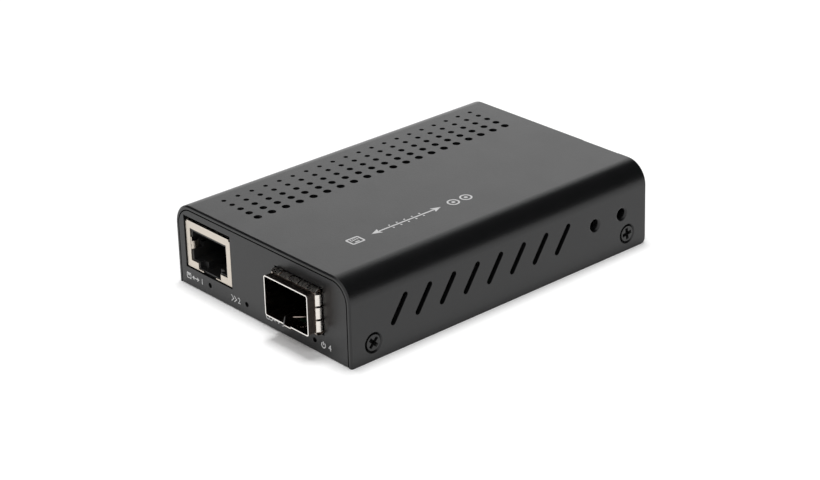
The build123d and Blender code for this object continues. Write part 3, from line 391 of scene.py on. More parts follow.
FINISHES = {
    "black_paint": finish("black powder coat", black_paint),
    "panel_paint": finish("black panel coat", black_paint),
    "black_screw": finish("blackened screw", blackened_steel),
    "board_laminate": finish("green solder mask", board_laminate),
    "plated_brass": finish("nickel on brass", plate(
        colour(0.68, 0.64, 0.55), colour(0.6, 0.56, 0.48), rough=0.3, grain_size=0.3, relief=0.002)),
    "zinc_screw": finish("zinc plate", plate(
        grey(0.62), grey(0.5), rough=0.32, grain_size=0.3, relief=0.002)),
    "port_nickel": finish("satin nickel", plate(
        colour(0.64, 0.585, 0.51), colour(0.58, 0.525, 0.46), rough=0.34, grain_size=0.25, relief=0.003,
        stretch=(0.2, 1, 1))),
    "cage_metal": finish("dulled rolled plate", cage_plate),
    "collar_metal": finish("bright spring steel", plate(
        colour(0.78, 0.74, 0.69), colour(0.7, 0.66, 0.61), rough=0.28, grain_size=0.6, relief=0.0004,
        stretch=(1, 0.2, 1))),
    "port_plastic": finish("black nylon", moulded(grey(0.011), grey(0.006), rough=0.42)),
    "gold_contact": finish("gold plate", plate(
        colour(0.86, 0.6, 0.24), colour(0.8, 0.54, 0.2), rough=0.25, grain_size=0.2, relief=0.001)),
    "chip_resin": finish("black chip resin", moulded(grey(0.03), grey(0.018), rough=0.5)),
    "can_metal": finish("drawn aluminium", plate(
        grey(0.78), grey(0.7), rough=0.28, grain_size=0.3, relief=0.001, stretch=(1, 1, 0.2))),
    "ferrite": finish("sintered ferrite", moulded(grey(0.06), grey(0.04), rough=0.6, relief=0.01)),
    "chip_ceramic": finish("tinned ceramic chip", moulded(
        colour(0.34, 0.27, 0.2), colour(0.26, 0.2, 0.15), rough=0.4)),
    "light_lens": finish("clear cast resin", cast_lens),
}
INK = finish("white screen print", printed_ink)
PALE_INK = finish("grey screen print", top_ink)


def own_object(name, mesh):
    made = bpy.data.objects.new(name, mesh)
    bpy.context.scene.collection.objects.link(made)
    return made


def from_bmesh(bm, name):
    """A mesh object from a bmesh, with its normals pointing outwards."""
    bmesh.ops.recalc_face_normals(bm, faces=bm.faces)
    mesh = bpy.data.meshes.new(name)
    bm.to_mesh(mesh)
    bm.free()
    return own_object(name, mesh)


def settled(made):
    """The object with its modifiers worked into a plain mesh."""
    evaluated = made.evaluated_get(bpy.context.evaluated_depsgraph_get())
    mesh = bpy.data.meshes.new_from_object(evaluated)
    made.modifiers.clear()
    made.data = mesh
    return made


def merged(objects, name):
    """Several mesh objects as one, the old ones removed."""
    bm = bmesh.new()
    for part in objects:
        bm.from_mesh(part.data)
        bpy.data.objects.remove(part)
    mesh = bpy.data.meshes.new(name)
    bm.to_mesh(mesh)
    bm.free()
    return own_object(name, mesh)


def cut(body, cutter, operation="DIFFERENCE"):
    """One exact boolean. The cutter is removed."""
    tool = body.modifiers.new("cut", "BOOLEAN")
    tool.operation = operation
    tool.solver = "EXACT"
    tool.use_self = operation == "UNION"
    tool.object = cutter
    settled(body)
    bpy.data.objects.remove(cutter)
    return body


def rounded_edges(body, width, steps=2, angle=35.0):
    """Every sharp edge rounded, and the flat faces kept flat in their shading."""
    tidy = bmesh.new()
    tidy.from_mesh(body.data)
    bmesh.ops.remove_doubles(tidy, verts=tidy.verts, dist=WELD * MM)
    bmesh.ops.dissolve_limit(tidy, angle_limit=radians(FLAT_WITHIN), verts=tidy.verts, edges=tidy.edges)
    tidy.to_mesh(body.data)
    tidy.free()
    tool = body.modifiers.new("rounding", "BEVEL")
    tool.width = width * MM
    tool.segments = steps
    tool.limit_method = "ANGLE"
    tool.angle_limit = radians(angle)
    tool.harden_normals = True
    for polygon in body.data.polygons:
        polygon.use_smooth = True
    body.data.set_sharp_from_angle(angle=radians(angle))
    level = body.modifiers.new("flat faces stay flat", "WEIGHTED_NORMAL")
    level.keep_sharp = True
    level.weight = 90
    return settled(body)


def place_piece(made, slot, *nodes, material=None):
    """The finished piece rides on the case, wears its slot's finish and stands for its CAD nodes."""
    made.data.materials.clear()
    made.data.materials.append(material or FINISHES[slot])
    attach(made, "root")
    if nodes:
        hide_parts(*nodes)
    return made


def copies_tree():
    """Geometry Nodes: copies of one shape in columns and rows, each column's larger by the growth."""
    tree = bpy.data.node_groups.new("copies in columns and rows", "GeometryNodeTree")
    for name, kind in (("Shape", "Object"), ("Finish", "Material"), ("Columns", "Int"), ("Rows", "Int"),
                       ("Start", "Vector"), ("Column step", "Vector"), ("Row step", "Vector"),
                       ("Growth", "Float")):
        tree.interface.new_socket(name, in_out="INPUT", socket_type=f"NodeSocket{kind}")
    tree.interface.new_socket("Geometry", in_out="OUTPUT", socket_type="NodeSocketGeometry")
    graph = Graph(tree)
    entry = graph.add("NodeGroupInput").socket.node
    given = {socket.name: Value(graph, socket) for socket in entry.outputs if socket.name}
    index = graph.add("GeometryNodeInputIndex")
    column = graph.maths("FLOOR", index / given["Rows"])
    row = index - column * given["Rows"]
    place = graph.vector("ADD", given["Start"], graph.vector("SCALE", given["Column step"], column))
    place = graph.vector("ADD", place, graph.vector("SCALE", given["Row step"], row))
    count = given["Columns"] * given["Rows"]
    points = graph.add("GeometryNodePoints", {}, {"Count": count, "Position": place})
    shape = graph.add("GeometryNodeObjectInfo", {}, {"Object": given["Shape"], "As Instance": True},
                      out="Geometry")
    placed = graph.add("GeometryNodeInstanceOnPoints", {}, {
        "Points": points, "Instance": shape, "Scale": 1.0 + given["Growth"] * column})
    solid = graph.add("GeometryNodeRealizeInstances", {}, {"Geometry": placed})
    painted = graph.add("GeometryNodeSetMaterial", {}, {"Geometry": solid, "Material": given["Finish"]})
    graph.add("NodeGroupOutput", {}, {"Geometry": painted})
    return tree


COPIES = copies_tree()


def copies(shape, name, columns, rows, start, column_step=(0, 0, 0), row_step=(0, 0, 0), growth=0.0,
           material=None):
    """Copies of a shape through the Geometry Nodes tree, as one plain mesh. The shape is removed."""
    holder = own_object(name, bpy.data.meshes.new(name))
    tool = holder.modifiers.new("copies", "NODES")
    tool.node_group = COPIES
    values = {
        "Shape": shape,
        "Finish": material or FINISHES["black_paint"],
        "Columns": columns,
        "Rows": rows,
        "Start": Vector(start) * MM,
        "Column step": Vector(column_step) * MM,
        "Row step": Vector(row_step) * MM,
        "Growth": growth,
    }
    for item in COPIES.interface.items_tree:
        if item.in_out == "INPUT":
            tool[item.identifier] = values[item.name]
    settled(holder)
    bpy.data.objects.remove(shape)
    return holder


def prism(outline, plane, low, high, name="prism"):
    """A closed solid: an outline in millimetres, pushed along the plane's normal axis."""
    axes = {"XY": (0, 1, 2), "XZ": (0, 2, 1), "YZ": (1, 2, 0)}[plane]

    def point(pair, level):
        spot = [0.0, 0.0, 0.0]
        for axis, value in zip(axes, (pair[0], pair[1], level)):
            spot[axis] = value * MM
        return spot

    bm = bmesh.new()
    near = [bm.verts.new(point(pair, low)) for pair in outline]
    far = [bm.verts.new(point(pair, high)) for pair in outline]
    bm.faces.new(near)
    bm.faces.new(reversed(far))
    for k in range(len(outline)):
        after = (k + 1) % len(outline)
        bm.faces.new((near[k], far[k], far[after], near[after]))
    return from_bmesh(bm, name)


def circle(radius, sides, x=0.0):
    angles = [2 * pi * k / sides for k in range(sides)]
    return [(x + radius * cos(angle), radius * sin(angle)) for angle in angles]


def arc(x, y, radius, start, end, steps):
    """Points along an arc, with its angles in degrees."""
    angles = [radians(start + (end - start) * k / steps) for k in range(steps + 1)]
    return [(x + radius * cos(angle), y + radius * sin(angle)) for angle in angles]


def rounded_box(width, height, corner, steps=5):
    """A rectangle's outline about the origin, with rounded corners."""
    half_x = width / 2 - corner
    half_y = height / 2 - corner
    points = []
    for start, x, y in ((0, 1, 1), (90, -1, 1), (180, -1, -1), (270, 1, -1)):
        points += arc(x * half_x, y * half_y, corner, start, start + 90, steps)
    return points


def turned(profile, sides=40):
    """A closed turned solid about Z, from (radius, height) points that start and end on the axis."""
    bm = bmesh.new()
    rings = []
    for radius, height in profile:
        if radius == 0:
            rings.append([bm.verts.new((0, 0, height * MM))])
        else:
            rings.append([bm.verts.new((x * MM, y * MM, height * MM))
                          for x, y in circle(radius, sides)])
    for lower, upper in zip(rings, rings[1:]):
        for k in range(sides):
            after = (k + 1) % sides
            corners = [lower[k % len(lower)], lower[after % len(lower)], upper[after % len(upper)],
                       upper[k % len(upper)]]
            bm.faces.new(list(dict.fromkeys(corners)))
    return from_bmesh(bm, "turned")


def facing_side(shape, side, y, z):
    """A turned shape set so that its own Z looks out of the right (1) or left (-1) side."""
    turn = Matrix.Rotation(side * pi / 2, 4, "Y")
    shape.data.transform(Matrix.Translation(Vector((side * CASE_RIGHT, y, z)) * MM) @ turn)
    return shape


def strip_outline(path, thickness):
    """The closed outline of a bent strip that follows a path."""
    upper = []
    lower = []
    for k, (x, y) in enumerate(path):
        before = Vector(path[max(k - 1, 0)])
        after = Vector(path[min(k + 1, len(path) - 1)])
        along = (after - before).normalized()
        across = Vector((-along.y, along.x)) * thickness / 2
        upper.append((x + across.x, y + across.y))
        lower.append((x - across.x, y - across.y))
    return upper + lower[::-1]


# Cover
def cover_outline():
    outer_side = CASE_RIGHT - BEND
    outer_top = CASE_TOP - BEND
    outer = (arc(outer_side, outer_top, BEND, 0, 90, BEND_STEPS)
             + arc(-outer_side, outer_top, BEND, 90, 180, BEND_STEPS))
    inner = (arc(-outer_side, outer_top, BEND - SHEET, 180, 90, BEND_STEPS)
             + arc(outer_side, outer_top, BEND - SHEET, 90, 0, BEND_STEPS))
    return ([(CASE_RIGHT, 0)] + outer + [(CASE_LEFT, 0), (CASE_LEFT + SHEET, 0)] + inner
            + [(CASE_RIGHT - SHEET, 0)])


def bracket_punch():
    """A bore whose mouth is rounded outwards."""
    angles = [radians(angle) for angle in (0, 22.5, 45, 67.5, 90)]
    mouth = [(BRACKET_RADIUS + MOUTH_ROUNDING * (1 - sin(angle)), -MOUTH_ROUNDING * (1 - cos(angle)))
             for angle in angles]
    return turned([(0, PAST), (mouth[0][0], PAST)] + mouth
                  + [(BRACKET_RADIUS, -BORE_DEPTH), (0, -BORE_DEPTH)])


def head_punch():
    """A countersink, a little wider than the screw's head."""
    foot = SINK_MOUTH - SINK_DEPTH
    end = -SINK_DEPTH - PAST
    return turned([(0, PAST), (SINK_MOUTH, PAST), (SINK_MOUTH, 0),
                   (foot, -SINK_DEPTH), (foot, end), (0, end)])


def slot_punch():
    radius = SLOT_WIDTH / 2
    half = hypot(SLOT_RISE, SLOT_LEAN) / 2
    outline = arc(half, 0, radius, -90, 90, 10) + arc(-half, 0, radius, 90, 270, 10)
    spin = Matrix.Rotation(atan2(SLOT_RISE, SLOT_LEAN), 2)
    outline = [tuple(spin @ Vector(point)) for point in outline]
    return prism(outline, "YZ", 1.5 * CASE_LEFT, 1.5 * CASE_RIGHT)


def outer_end_edge(edge):
    """Whether an edge runs round the outside of the cover's front or rear end."""
    if len(edge.link_faces) != 2 or edge.calc_face_angle(0) < radians(60):
        return False
    middle = (edge.verts[0].co + edge.verts[1].co) / 2 / MM
    at_end = min(abs(middle.y - CASE_FRONT), abs(middle.y - CASE_REAR)) < NEAR
    across = hypot(max(abs(middle.x) - (CASE_RIGHT - BEND), 0), max(middle.z - (CASE_TOP - BEND), 0))
    return at_end and middle.z > NEAR and across > BEND - SHEET / 2


def cover_piece():
    cover = prism(cover_outline(), "XZ", CASE_FRONT, CASE_REAR, "cover_sheet")
    bm = bmesh.new()
    bm.from_mesh(cover.data)
    feet = [edge for edge in bm.edges if all(vert.co.z < NEAR * MM and vert.co.y > (CASE_REAR - NEAR) * MM
                                             for vert in edge.verts)]
    bmesh.ops.bevel(bm, geom=feet, offset=REAR_CORNER * MM, segments=8, profile=0.5, affect="EDGES")
    ends = [edge for edge in bm.edges if outer_end_edge(edge)]
    back, inwards = EDGE_FLAT
    bmesh.ops.bevel(bm, geom=ends, offset=inwards * MM, segments=1, profile=0.5, affect="EDGES")
    for vert in bm.verts:
        for end, way in ((CASE_FRONT, 1), (CASE_REAR, -1)):
            depth = way * (vert.co.y / MM - end)
            if NEAR < depth < 2 * inwards:
                vert.co.y = (end + way * depth * back / inwards) * MM
    bm.to_mesh(cover.data)
    bm.free()

    collars = []
    bores = []
    sinks = []
    for side in (-1, 1):
        for y in BRACKET_YS:
            wall = BRACKET_RADIUS + COLLAR_WALL
            foot = -SHEET - COLLAR_DEPTH
            collar = turned([(0, -COLLAR_ROOT), (wall, -COLLAR_ROOT), (wall, foot), (0, foot)])
            collars.append(facing_side(collar, side, y, BRACKET_Z))
            bores.append(facing_side(bracket_punch(), side, y, BRACKET_Z))
        for y in SCREW_YS:
            sinks.append(facing_side(head_punch(), side, y, SCREW_Z))
    cut(cover, merged(collars, "collars"), "UNION")

    vent = prism(circle(VENT_SMALLEST / 2, VENT_SIDES), "XY", -2 * SHEET, 2 * SHEET)
    vents = copies(vent, "vents", VENT_COLUMNS, VENT_ROWS,
                   (CASE_LEFT + VENT_INSET_X, CASE_FRONT + VENT_INSET_Y, CASE_TOP),
                   (VENT_COLUMN_PITCH, 0, 0), (0, VENT_ROW_PITCH, 0), VENT_STEP / VENT_SMALLEST)
    slots = copies(slot_punch(), "slots", 1, SLOT_COUNT,
                   (0, CASE_FRONT + SLOT_INSET_Y + SLOT_LEAN / 2, SLOT_FOOT_Z + SLOT_RISE / 2),
                   row_step=(0, SLOT_PITCH, 0))
    notch_low, notch_high = JACK_X - NOTCH_WIDTH / 2, JACK_X + NOTCH_WIDTH / 2
    notch_foot = CASE_REAR - NOTCH_DEPTH
    notch = prism([(notch_low, notch_foot), (notch_high, notch_foot),
                   (notch_high, CASE_REAR + PAST), (notch_low, CASE_REAR + PAST)],
                  "XY", CASE_TOP - 1.5 * SHEET, CASE_TOP + PAST)
    cut(cover, merged(bores + sinks + [vents, slots, notch], "punches"))
    rounded_edges(cover, HOLE_ROUNDING, angle=25)
    return place_piece(cover, "black_paint", "cover")


# Pieces whose CAD form is right and only wants its edges rounded
def softened(node, slot, width, steps=2):
    source = frame["nodes"][node]
    made = own_object(f"{node}_finished", source.data.copy())
    rounded_edges(made, width, steps)
    return place_piece(made, slot, node)


# Copper port: both side springs are short tabs folded in close behind the mouth
def port_box(side, x_range, y_range, z_range):
    """A box by the port's mouth, measured from the port's middle, its face and its foot."""
    near, far = (PORT_X + side * x for x in x_range)
    front, rear = (PORT_FACE + y for y in y_range)
    low, high = (PORT_FOOT + z for z in z_range)
    return prism([(near, front), (far, front), (far, rear), (near, rear)], "XY", low, high)


def port_shield_piece():
    made = own_object("port_shield", frame["nodes"]["rj45_shield"].data.copy())
    low, high = SPRING_SPAN
    for side in (-1, 1):
        cut(made, port_box(side, *CAD_SPRING_ROOM))
        path = []
        for k in range(SPRING_STEPS + 1):
            across = MOUTH_HALF + SPRING_ROOT - SPRING_BOW * sin(pi * k / SPRING_STEPS)
            along = SPRING_START + SPRING_LENGTH * k / SPRING_STEPS
            path.append((PORT_X + side * across, PORT_FACE + along))
        leaf = prism(strip_outline(path, SPRING_SHEET), "XY", PORT_FOOT + low, PORT_FOOT + high)
        cut(made, leaf, "UNION")
    rounded_edges(made, 0.05)
    return place_piece(made, "port_nickel", "rj45_shield")


def port_housing_piece():
    made = own_object("port_housing", frame["nodes"]["rj45_housing"].data.copy())
    low, high = SPRING_SPAN
    for side in (-1, 1):
        cut(made, port_box(side, POCKET_WIDTH, (0, POCKET_DEPTH), (low - POCKET_ROOM, high + POCKET_ROOM)))
    rounded_edges(made, 0.05)
    return place_piece(made, "port_plastic", "rj45_housing")


# Spring collar
def spring_finger():
    """A finger on the cage's top: it bows away from the cage, then lies back beside it."""
    low = COLLAR_GAP + COLLAR_SHEET / 2
    crest = FINGER_CREST - COLLAR_SHEET / 2
    path = []
    for k in range(FINGER_STEPS + 1):
        part = k / FINGER_STEPS
        rise = (crest - low) * sin(pi * part) + FINGER_LIFT * part
        path.append((FINGER_ARC * part - FINGER_START, low + rise))
    path.append((FINGER_ARC + FINGER_TAIL - FINGER_START, low + FINGER_REST))
    outline = strip_outline(path, COLLAR_SHEET)
    finger = prism(outline, "YZ", -FINGER_WIDTH / 2, FINGER_WIDTH / 2, "finger")
    return rounded_edges(finger, 0.02, 1, angle=50)


def collar_row(count, middle, face_turn, reach, skip=0.0):
    """Fingers along one face of the cage. The turn about Y takes the top face to that face."""
    fingers = []
    first = -(count - 1) / 2
    kept = [k for k in range(count) if abs((first + k) * FINGER_PITCH) > skip or skip == 0]
    turn = Matrix.Rotation(radians(face_turn), 4, "Y")
    runs = [kept] if skip == 0 else [kept[:len(kept) // 2], kept[len(kept) // 2:]]
    for run in runs:
        across = turn @ Vector(((first + run[0]) * FINGER_PITCH, CASE_FRONT, reach))
        step = turn @ Vector((FINGER_PITCH, 0, 0))
        finger = spring_finger()
        finger.data.transform(turn)
        fingers.append(copies(finger, "finger_row", 1, len(run), middle + across, row_step=step,
                              material=FINISHES["collar_metal"]))
    return fingers


def collar_piece():
    middle = Vector((CAGE_X, 0, CAGE_BOTTOM + CAGE_HEIGHT / 2))
    fingers = []
    fingers += collar_row(FINGERS_ACROSS, middle, 0, CAGE_HEIGHT / 2)
    fingers += collar_row(FINGERS_ACROSS, middle, 180, CAGE_HEIGHT / 2, TONGUE_CLEAR)
    fingers += collar_row(FINGERS_UP, middle, 90, CAGE_WIDTH / 2)
    fingers += collar_row(FINGERS_UP, middle, -90, CAGE_WIDTH / 2)
    inner = rounded_box(CAGE_WIDTH + 2 * COLLAR_GAP, CAGE_HEIGHT + 2 * COLLAR_GAP, CAGE_CORNER + COLLAR_GAP)
    grow = COLLAR_GAP + COLLAR_SHEET
    outer = rounded_box(CAGE_WIDTH + 2 * grow, CAGE_HEIGHT + 2 * grow, CAGE_CORNER + grow)
    front, rear = (CASE_FRONT - reach for reach in COLLAR_BAND)
    band = prism(outer, "XZ", front, rear, "band")
    cut(band, prism(inner, "XZ", front - PAST, rear + PAST))
    gap_top = 0.1 - CAGE_HEIGHT / 2             # just above the band's lower run
    gap = [(-TONGUE_CLEAR, -CAGE_HEIGHT), (TONGUE_CLEAR, -CAGE_HEIGHT), (TONGUE_CLEAR, gap_top),
           (-TONGUE_CLEAR, gap_top)]
    cut(band, prism(gap, "XZ", front - PAST, rear + PAST))
    band.data.transform(Matrix.Translation(middle * MM))
    rounded_edges(band, 0.03, 1)
    return place_piece(merged([band] + fingers, "spring_collar"), "collar_metal", "emi_collar")


# Cover's screws
def cover_screws_piece():
    """The screws, their heads with a straight edge and drawn out level with the cover."""
    made = own_object("cover_screws", frame["nodes"]["side_screws"].data.copy())
    bm = bmesh.new()
    bm.from_mesh(made.data)
    face = screws_high.x
    for side in (-1, 1):
        bmesh.ops.bisect_plane(bm, geom=bm.verts[:] + bm.edges[:] + bm.faces[:],
                               plane_co=(side * (face - HEAD_EDGE) * MM, 0, 0), plane_no=(1, 0, 0))
    for vert in bm.verts:
        if abs(vert.co.x) / MM > face - NEAR:
            y, z = vert.co.y / MM, vert.co.z / MM
            middle = min(SCREW_YS, key=lambda spot: abs(spot - y))
            at_rim = hypot(y - middle, z - SCREW_Z) > 0.9 * SCREW_RADIUS
            share = 1 - HEAD_EDGE / SCREW_RADIUS if at_rim else CROSS_GROWTH
            vert.co = Vector((copysign(CASE_RIGHT - HEAD_FLUSH, vert.co.x), middle + (y - middle) * share,
                              SCREW_Z + (z - SCREW_Z) * share)) * MM
    bm.to_mesh(made.data)
    bm.free()
    rounded_edges(made, 0.03)
    return place_piece(made, "black_screw", "side_screws")


# Prints
def print_piece(shapes, name, material, place):
    """Flat closed shapes, pushed to the ink's height, joined and set in place."""
    made = merged(shapes, name)
    made.data.transform(place)
    return place_piece(made, "black_paint", material=material)


def ink_shape(outline):
    return prism(outline, "XY", -INK_HEIGHT, INK_HEIGHT)


def ink_frame(outer, inner):
    """A closed line of ink between two outlines with equal numbers of points."""
    bm = bmesh.new()
    loops = [[bm.verts.new((x * MM, y * MM, level * MM)) for x, y in outline]
             for outline, level in ((outer, -INK_HEIGHT), (outer, INK_HEIGHT), (inner, INK_HEIGHT),
                                    (inner, -INK_HEIGHT))]
    for first, second in zip(loops, loops[1:] + loops[:1]):
        for k in range(len(first)):
            after = (k + 1) % len(first)
            bm.faces.new((first[k], first[after], second[after], second[k]))
    return from_bmesh(bm, "line")


def shifted(outline, by):
    return [(x + by, y) for x, y in outline]


def ring(x, radius, line, sides=28):
    return ink_frame(circle(radius, sides, x), circle(radius - line, sides, x))


def top_signs():
    """A generic strip of pictograms: a socket, a two-headed arrow and a pair of fibre ends."""
    half = SIGN_HEIGHT / 2
    shapes = []

    def line(points):
        shapes.append(ink_shape(points))

    def bar(x_low, x_high, y_low, y_high):
        line([(x_low, y_low), (x_high, y_low), (x_high, y_high), (x_low, y_high)])

    socket_x = -16.2
    socket_width = 3.6
    outer = rounded_box(socket_width, SIGN_HEIGHT, 0.5)
    inner = rounded_box(socket_width - 2 * LINE, SIGN_HEIGHT - 2 * LINE, 0.2)
    shapes.append(ink_frame(shifted(outer, socket_x), shifted(inner, socket_x)))
    contacts = 4
    contact_pitch = 0.55
    contact_half = 0.12
    for k in range(contacts):
        x = socket_x + contact_pitch * (k - (contacts - 1) / 2)
        bar(x - contact_half, x + contact_half, 0.0, half - LINE - 0.25)
    bar(socket_x - 0.6, socket_x + 0.6, -half + LINE + 0.2, -half + LINE + 0.6)

    arrow_low, arrow_high = -11.6, 8.6
    barb_length, barb_half, barb_notch = 2.4, 1.05, 2.0
    shaft_inset = 2.1
    bar(arrow_low + shaft_inset, arrow_high - shaft_inset, -LINE / 2, LINE / 2)
    for tip, way in ((arrow_low, 1), (arrow_high, -1)):
        barb = tip + way * barb_length
        line([(tip, 0), (barb, barb_half), (tip + way * barb_notch, 0), (barb, -barb_half)][::way])
    ticks = 5
    tick_pitch = 2.2
    tick_half = 0.2
    tick_low, tick_high = 0.55, 1.0
    for k in range(ticks):
        x = (arrow_low + arrow_high) / 2 + tick_pitch * (k - (ticks - 1) / 2)
        bar(x - tick_half, x + tick_half, tick_low, tick_high)
        bar(x - tick_half, x + tick_half, -tick_high, -tick_low)

    core_radius = 0.45
    for fibre_x in (12.4, 16.2):
        shapes.append(ring(fibre_x, half, LINE, 36))
        line(circle(core_radius, 20, fibre_x))
    place = Matrix.Translation(Vector((SIGN_X, SIGN_Y, CASE_TOP)) * MM) @ Matrix.Rotation(pi / 2, 4, "Z")
    return print_piece(shapes, "top_pictograms", PALE_INK, place)


def figure(text, height):
    """A plain figure of ink, its middle at the origin."""
    curve = bpy.data.curves.new("figure", "FONT")
    curve.body = text
    curve.size = height * SIZE_OF_FIGURE * MM
    curve.extrude = INK_HEIGHT * MM
    curve.align_x = "CENTER"
    curve.align_y = "CENTER"
    holder = bpy.data.objects.new("figure", curve)
    bpy.context.scene.collection.objects.link(holder)
    mesh = bpy.data.meshes.new_from_object(holder.evaluated_get(bpy.context.evaluated_depsgraph_get()))
    bpy.data.objects.remove(holder)
    return own_object("figure", mesh)


def two_headed_arrow(length, head, line):
    """An arrow along X about the origin, pointed at both ends."""
    neck = length / 2 - head
    half = [(length / 2, 0), (neck, 0.8 * head), (neck, line / 2)]
    upper = half + [(-x, y) for x, y in half[::-1]]
    return upper + [(x, -y) for x, y in upper[-2:0:-1]]


def panel_mark(number, shapes, middle, figure_x):
    """A generic pictogram and a plain number beside a light, with figure_x from the mark's middle."""
    numeral = figure(str(number), MARK_HEIGHT)
    numeral.data.transform(Matrix.Translation((figure_x * MM, 0, 0)))
    place = Matrix.Translation(Vector((middle, CASE_FRONT, MARK_Z)) * MM) @ Matrix.Rotation(pi / 2, 4, "X")
    return print_piece(shapes + [numeral], f"panel_mark_{number}", INK, place)


def panel_marks():
    """Marks for the copper port, its speed, the fibre port and the power, each left of its number."""
    half = MARK_HEIGHT / 2
    line = MARK_LINE
    socket_x = -2.4
    socket_width = 1.6
    outer = rounded_box(socket_width, MARK_HEIGHT, 0.25)
    inner = rounded_box(socket_width - 2 * line, MARK_HEIGHT - 2 * line, 0.1)
    socket = ink_frame(shifted(outer, socket_x), shifted(inner, socket_x))
    block = [(-0.3, 0.05), (0.3, 0.05), (0.3, half - line), (-0.3, half - line)]
    contact = ink_shape(shifted(block, socket_x))
    link = ink_shape(shifted(two_headed_arrow(length=2.6, head=0.7, line=line), 0.1))
    panel_mark(1, [socket, contact, link], middle=-23.9, figure_x=2.5)

    wide = line * 1.3
    point = 0.8
    chevron = [(0, half), (wide, half), (point + wide, 0), (wide, -half), (0, -half), (point, 0)]
    chevrons = [ink_shape(shifted(chevron, x)) for x in (-1.5, -0.5)]
    panel_mark(2, chevrons, middle=-9.35, figure_x=1.4)

    link = ink_shape(shifted(two_headed_arrow(length=2.4, head=0.7, line=line), 0.5))
    fibre_ends = [ring(x, 0.72, line) for x in (-2.5, -1.5)]
    panel_mark(3, fibre_ends + [link], middle=4.7, figure_x=2.6)

    button_x = -1.2
    outer = arc(0, 0, half, 125, 415, 24)
    inner = arc(0, 0, half - line, 415, 125, 24)
    button = ink_shape(shifted(outer + inner, button_x))
    bar = [(-line / 2, 0), (line / 2, 0), (line / 2, half + 0.1), (-line / 2, half + 0.1)]
    stem = ink_shape(shifted(bar, button_x))
    panel_mark(4, [button, stem], middle=22.15, figure_x=0.9)


# Build the pieces, after every CAD piece has its slot's finish
for part in frame["record"]["subparts"]:
    mesh = frame["nodes"][part["node"]].data
    mesh.materials.clear()
    mesh.materials.append(FINISHES[part["material_slot"]])

cover_piece()
collar_piece()
softened("base_tray", "panel_paint", width=0.12, steps=3)
cover_screws_piece()
port_shield_piece()
port_housing_piece()
softened("rj45_contacts", "gold_contact", width=0.04)
softened("sfp_cage", "cage_metal", width=0.04)
softened("sfp_connector", "port_plastic", width=0.05)
softened("dc_jack_housing", "port_plastic", width=0.12)
softened("dc_jack_pin", "gold_contact", width=0.1)
softened("dc_jack_spring", "cage_metal", width=0.04)
top_signs()
panel_marks()


# Studio, with its places and sizes in metres and its lamps in watts
FLOOR_HALF = 4.0
FLOOR_LEVEL = -0.00002
FLOOR_GLOW = 0.07
CARD_RADIUS = 1.2
CARD_STEPS = 24
AIR_SEEN = 1.0              # the world's strength for what is seen, directly or in paint and metal
AIR_FILL = 0.2              # the world's strength as light on the object


def floor_finish(graph):
    """White sheet, partly lit through from below, so that shadows on it stay light."""
    fleck = graph.noise(40.0, detail=2.0)
    return {
        "Base Color": graph.mixed(fleck, grey(0.94), grey(0.95)),
        "Roughness": 0.9,
        "Specular IOR Level": 0.0,
        "Emission Color": grey(1.0),
        "Emission Strength": FLOOR_GLOW,
    }


def stage_sheet(name, half, z):
    bm = bmesh.new()
    bm.faces.new([bm.verts.new((x * half, y * half, z)) for x, y in ((-1, -1), (1, -1), (1, 1), (-1, 1))])
    return from_bmesh(bm, name)


floor = stage_sheet("floor", FLOOR_HALF, FLOOR_LEVEL)
floor.data.materials.append(finish("white floor", floor_finish))


def card_material(graph):
    return {"Base Color": grey(0.002), "Roughness": 1.0, "Specular IOR Level": 0.0}


BLACK_CARD = finish("black card", card_material)


def card(name, start, end, low, high):
    """A curved black card round the case, seen only in its paint and metal.

    Its ends are given in degrees from the rear towards the right, its edges in metres."""
    bm = bmesh.new()
    pairs = []
    for k in range(CARD_STEPS + 1):
        angle = radians(start + (end - start) * k / CARD_STEPS)
        x = CARD_RADIUS * sin(angle)
        y = CARD_RADIUS * cos(angle)
        pairs.append((bm.verts.new((x, y, low)), bm.verts.new((x, y, high))))
    for first, second in zip(pairs, pairs[1:]):
        bm.faces.new((first[0], second[0], second[1], first[1]))
    made = from_bmesh(bm, name)
    made.data.materials.append(BLACK_CARD)
    made.visible_camera = False
    made.visible_diffuse = False
    made.visible_shadow = False


card("card_right", start=-25, end=90, low=0.1, high=3.0)
card("card_left", start=-145, end=-67, low=0.2, high=3.0)
card("card_rear", start=-67, end=-25, low=1.4, high=3.0)


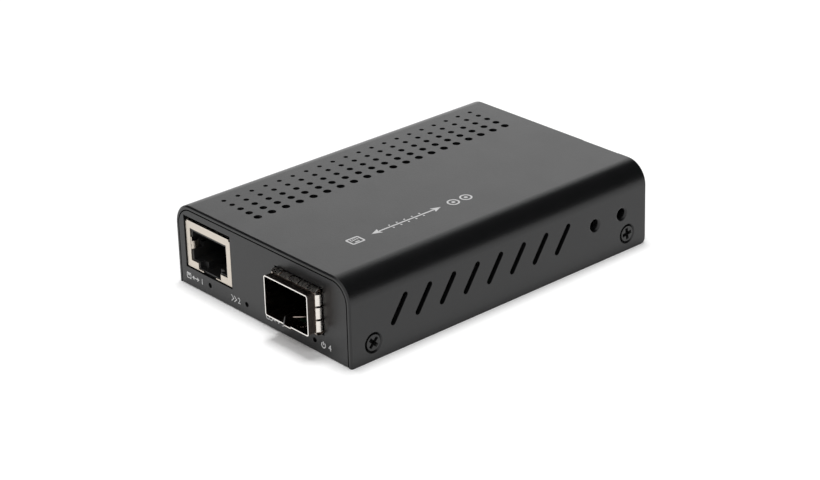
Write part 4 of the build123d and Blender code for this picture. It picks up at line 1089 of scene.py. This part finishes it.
def lamp(name, place, width, height, watts, shine=False):
    """A soft lamp that looks at the case. It lights what is matt, or else shines in paint and metal."""
    light = bpy.data.lights.new(name, "AREA")
    light.shape = "RECTANGLE"
    light.size = width
    light.size_y = height
    light.energy = watts
    made = bpy.data.objects.new(name, light)
    made.location = place
    made.rotation_mode = "QUATERNION"
    made.rotation_quaternion = (-Vector(place)).to_track_quat("-Z", "Y")
    made.visible_glossy = shine
    made.visible_diffuse = not shine
    bpy.context.scene.collection.objects.link(made)


lamp("overhead_lamp", (-0.11, 0.06, 1.6), width=0.5, height=0.5, watts=19.0)
lamp("front_lamp", (0.7, -0.62, 1.1), width=0.7, height=0.7, watts=6.0)
lamp("rear_lamp", (-0.78, 0.79, 0.4), width=0.55, height=0.75, watts=0.42, shine=True)

world = bpy.data.worlds.new("studio")
bpy.context.scene.world = world
world.use_nodes = True
air = Graph(world.node_tree)
rays = air.add("ShaderNodeLightPath").socket.node
direct = [Value(air, rays.outputs[name])
          for name in ("Is Camera Ray", "Is Glossy Ray", "Is Transmission Ray")]
seen = air.maths("MINIMUM", direct[0] + direct[1] + direct[2], 1.0)
strength = AIR_FILL + seen * (AIR_SEEN - AIR_FILL)
glow = air.add("ShaderNodeBackground", {}, {"Color": grey(1.0), "Strength": strength})
air.add("ShaderNodeOutputWorld", {}, {"Surface": glow})

# Camera
azimuth = radians(CAMERA_AZIMUTH)
elevation = radians(CAMERA_ELEVATION)
roll = radians(CAMERA_ROLL)
back = Vector((sin(azimuth) * cos(elevation), -cos(azimuth) * cos(elevation), sin(elevation)))
right = (-back).cross(Vector((0, 0, 1))).normalized()
up = right.cross(-back)
camera = bpy.data.objects.new("camera", bpy.data.cameras.new("camera"))
camera.data.sensor_width = 36
camera.data.lens = CAMERA_LENS
axes = Matrix((right * cos(roll) + up * sin(roll), up * cos(roll) - right * sin(roll), back)).transposed()
camera.matrix_world = Matrix.Translation(Vector(CAMERA_PLACE) * MM) @ axes.to_4x4()
bpy.context.scene.collection.objects.link(camera)
bpy.context.scene.camera = camera
bpy.context.scene.view_settings.view_transform = "Standard"

bpy.context.view_layer.update()
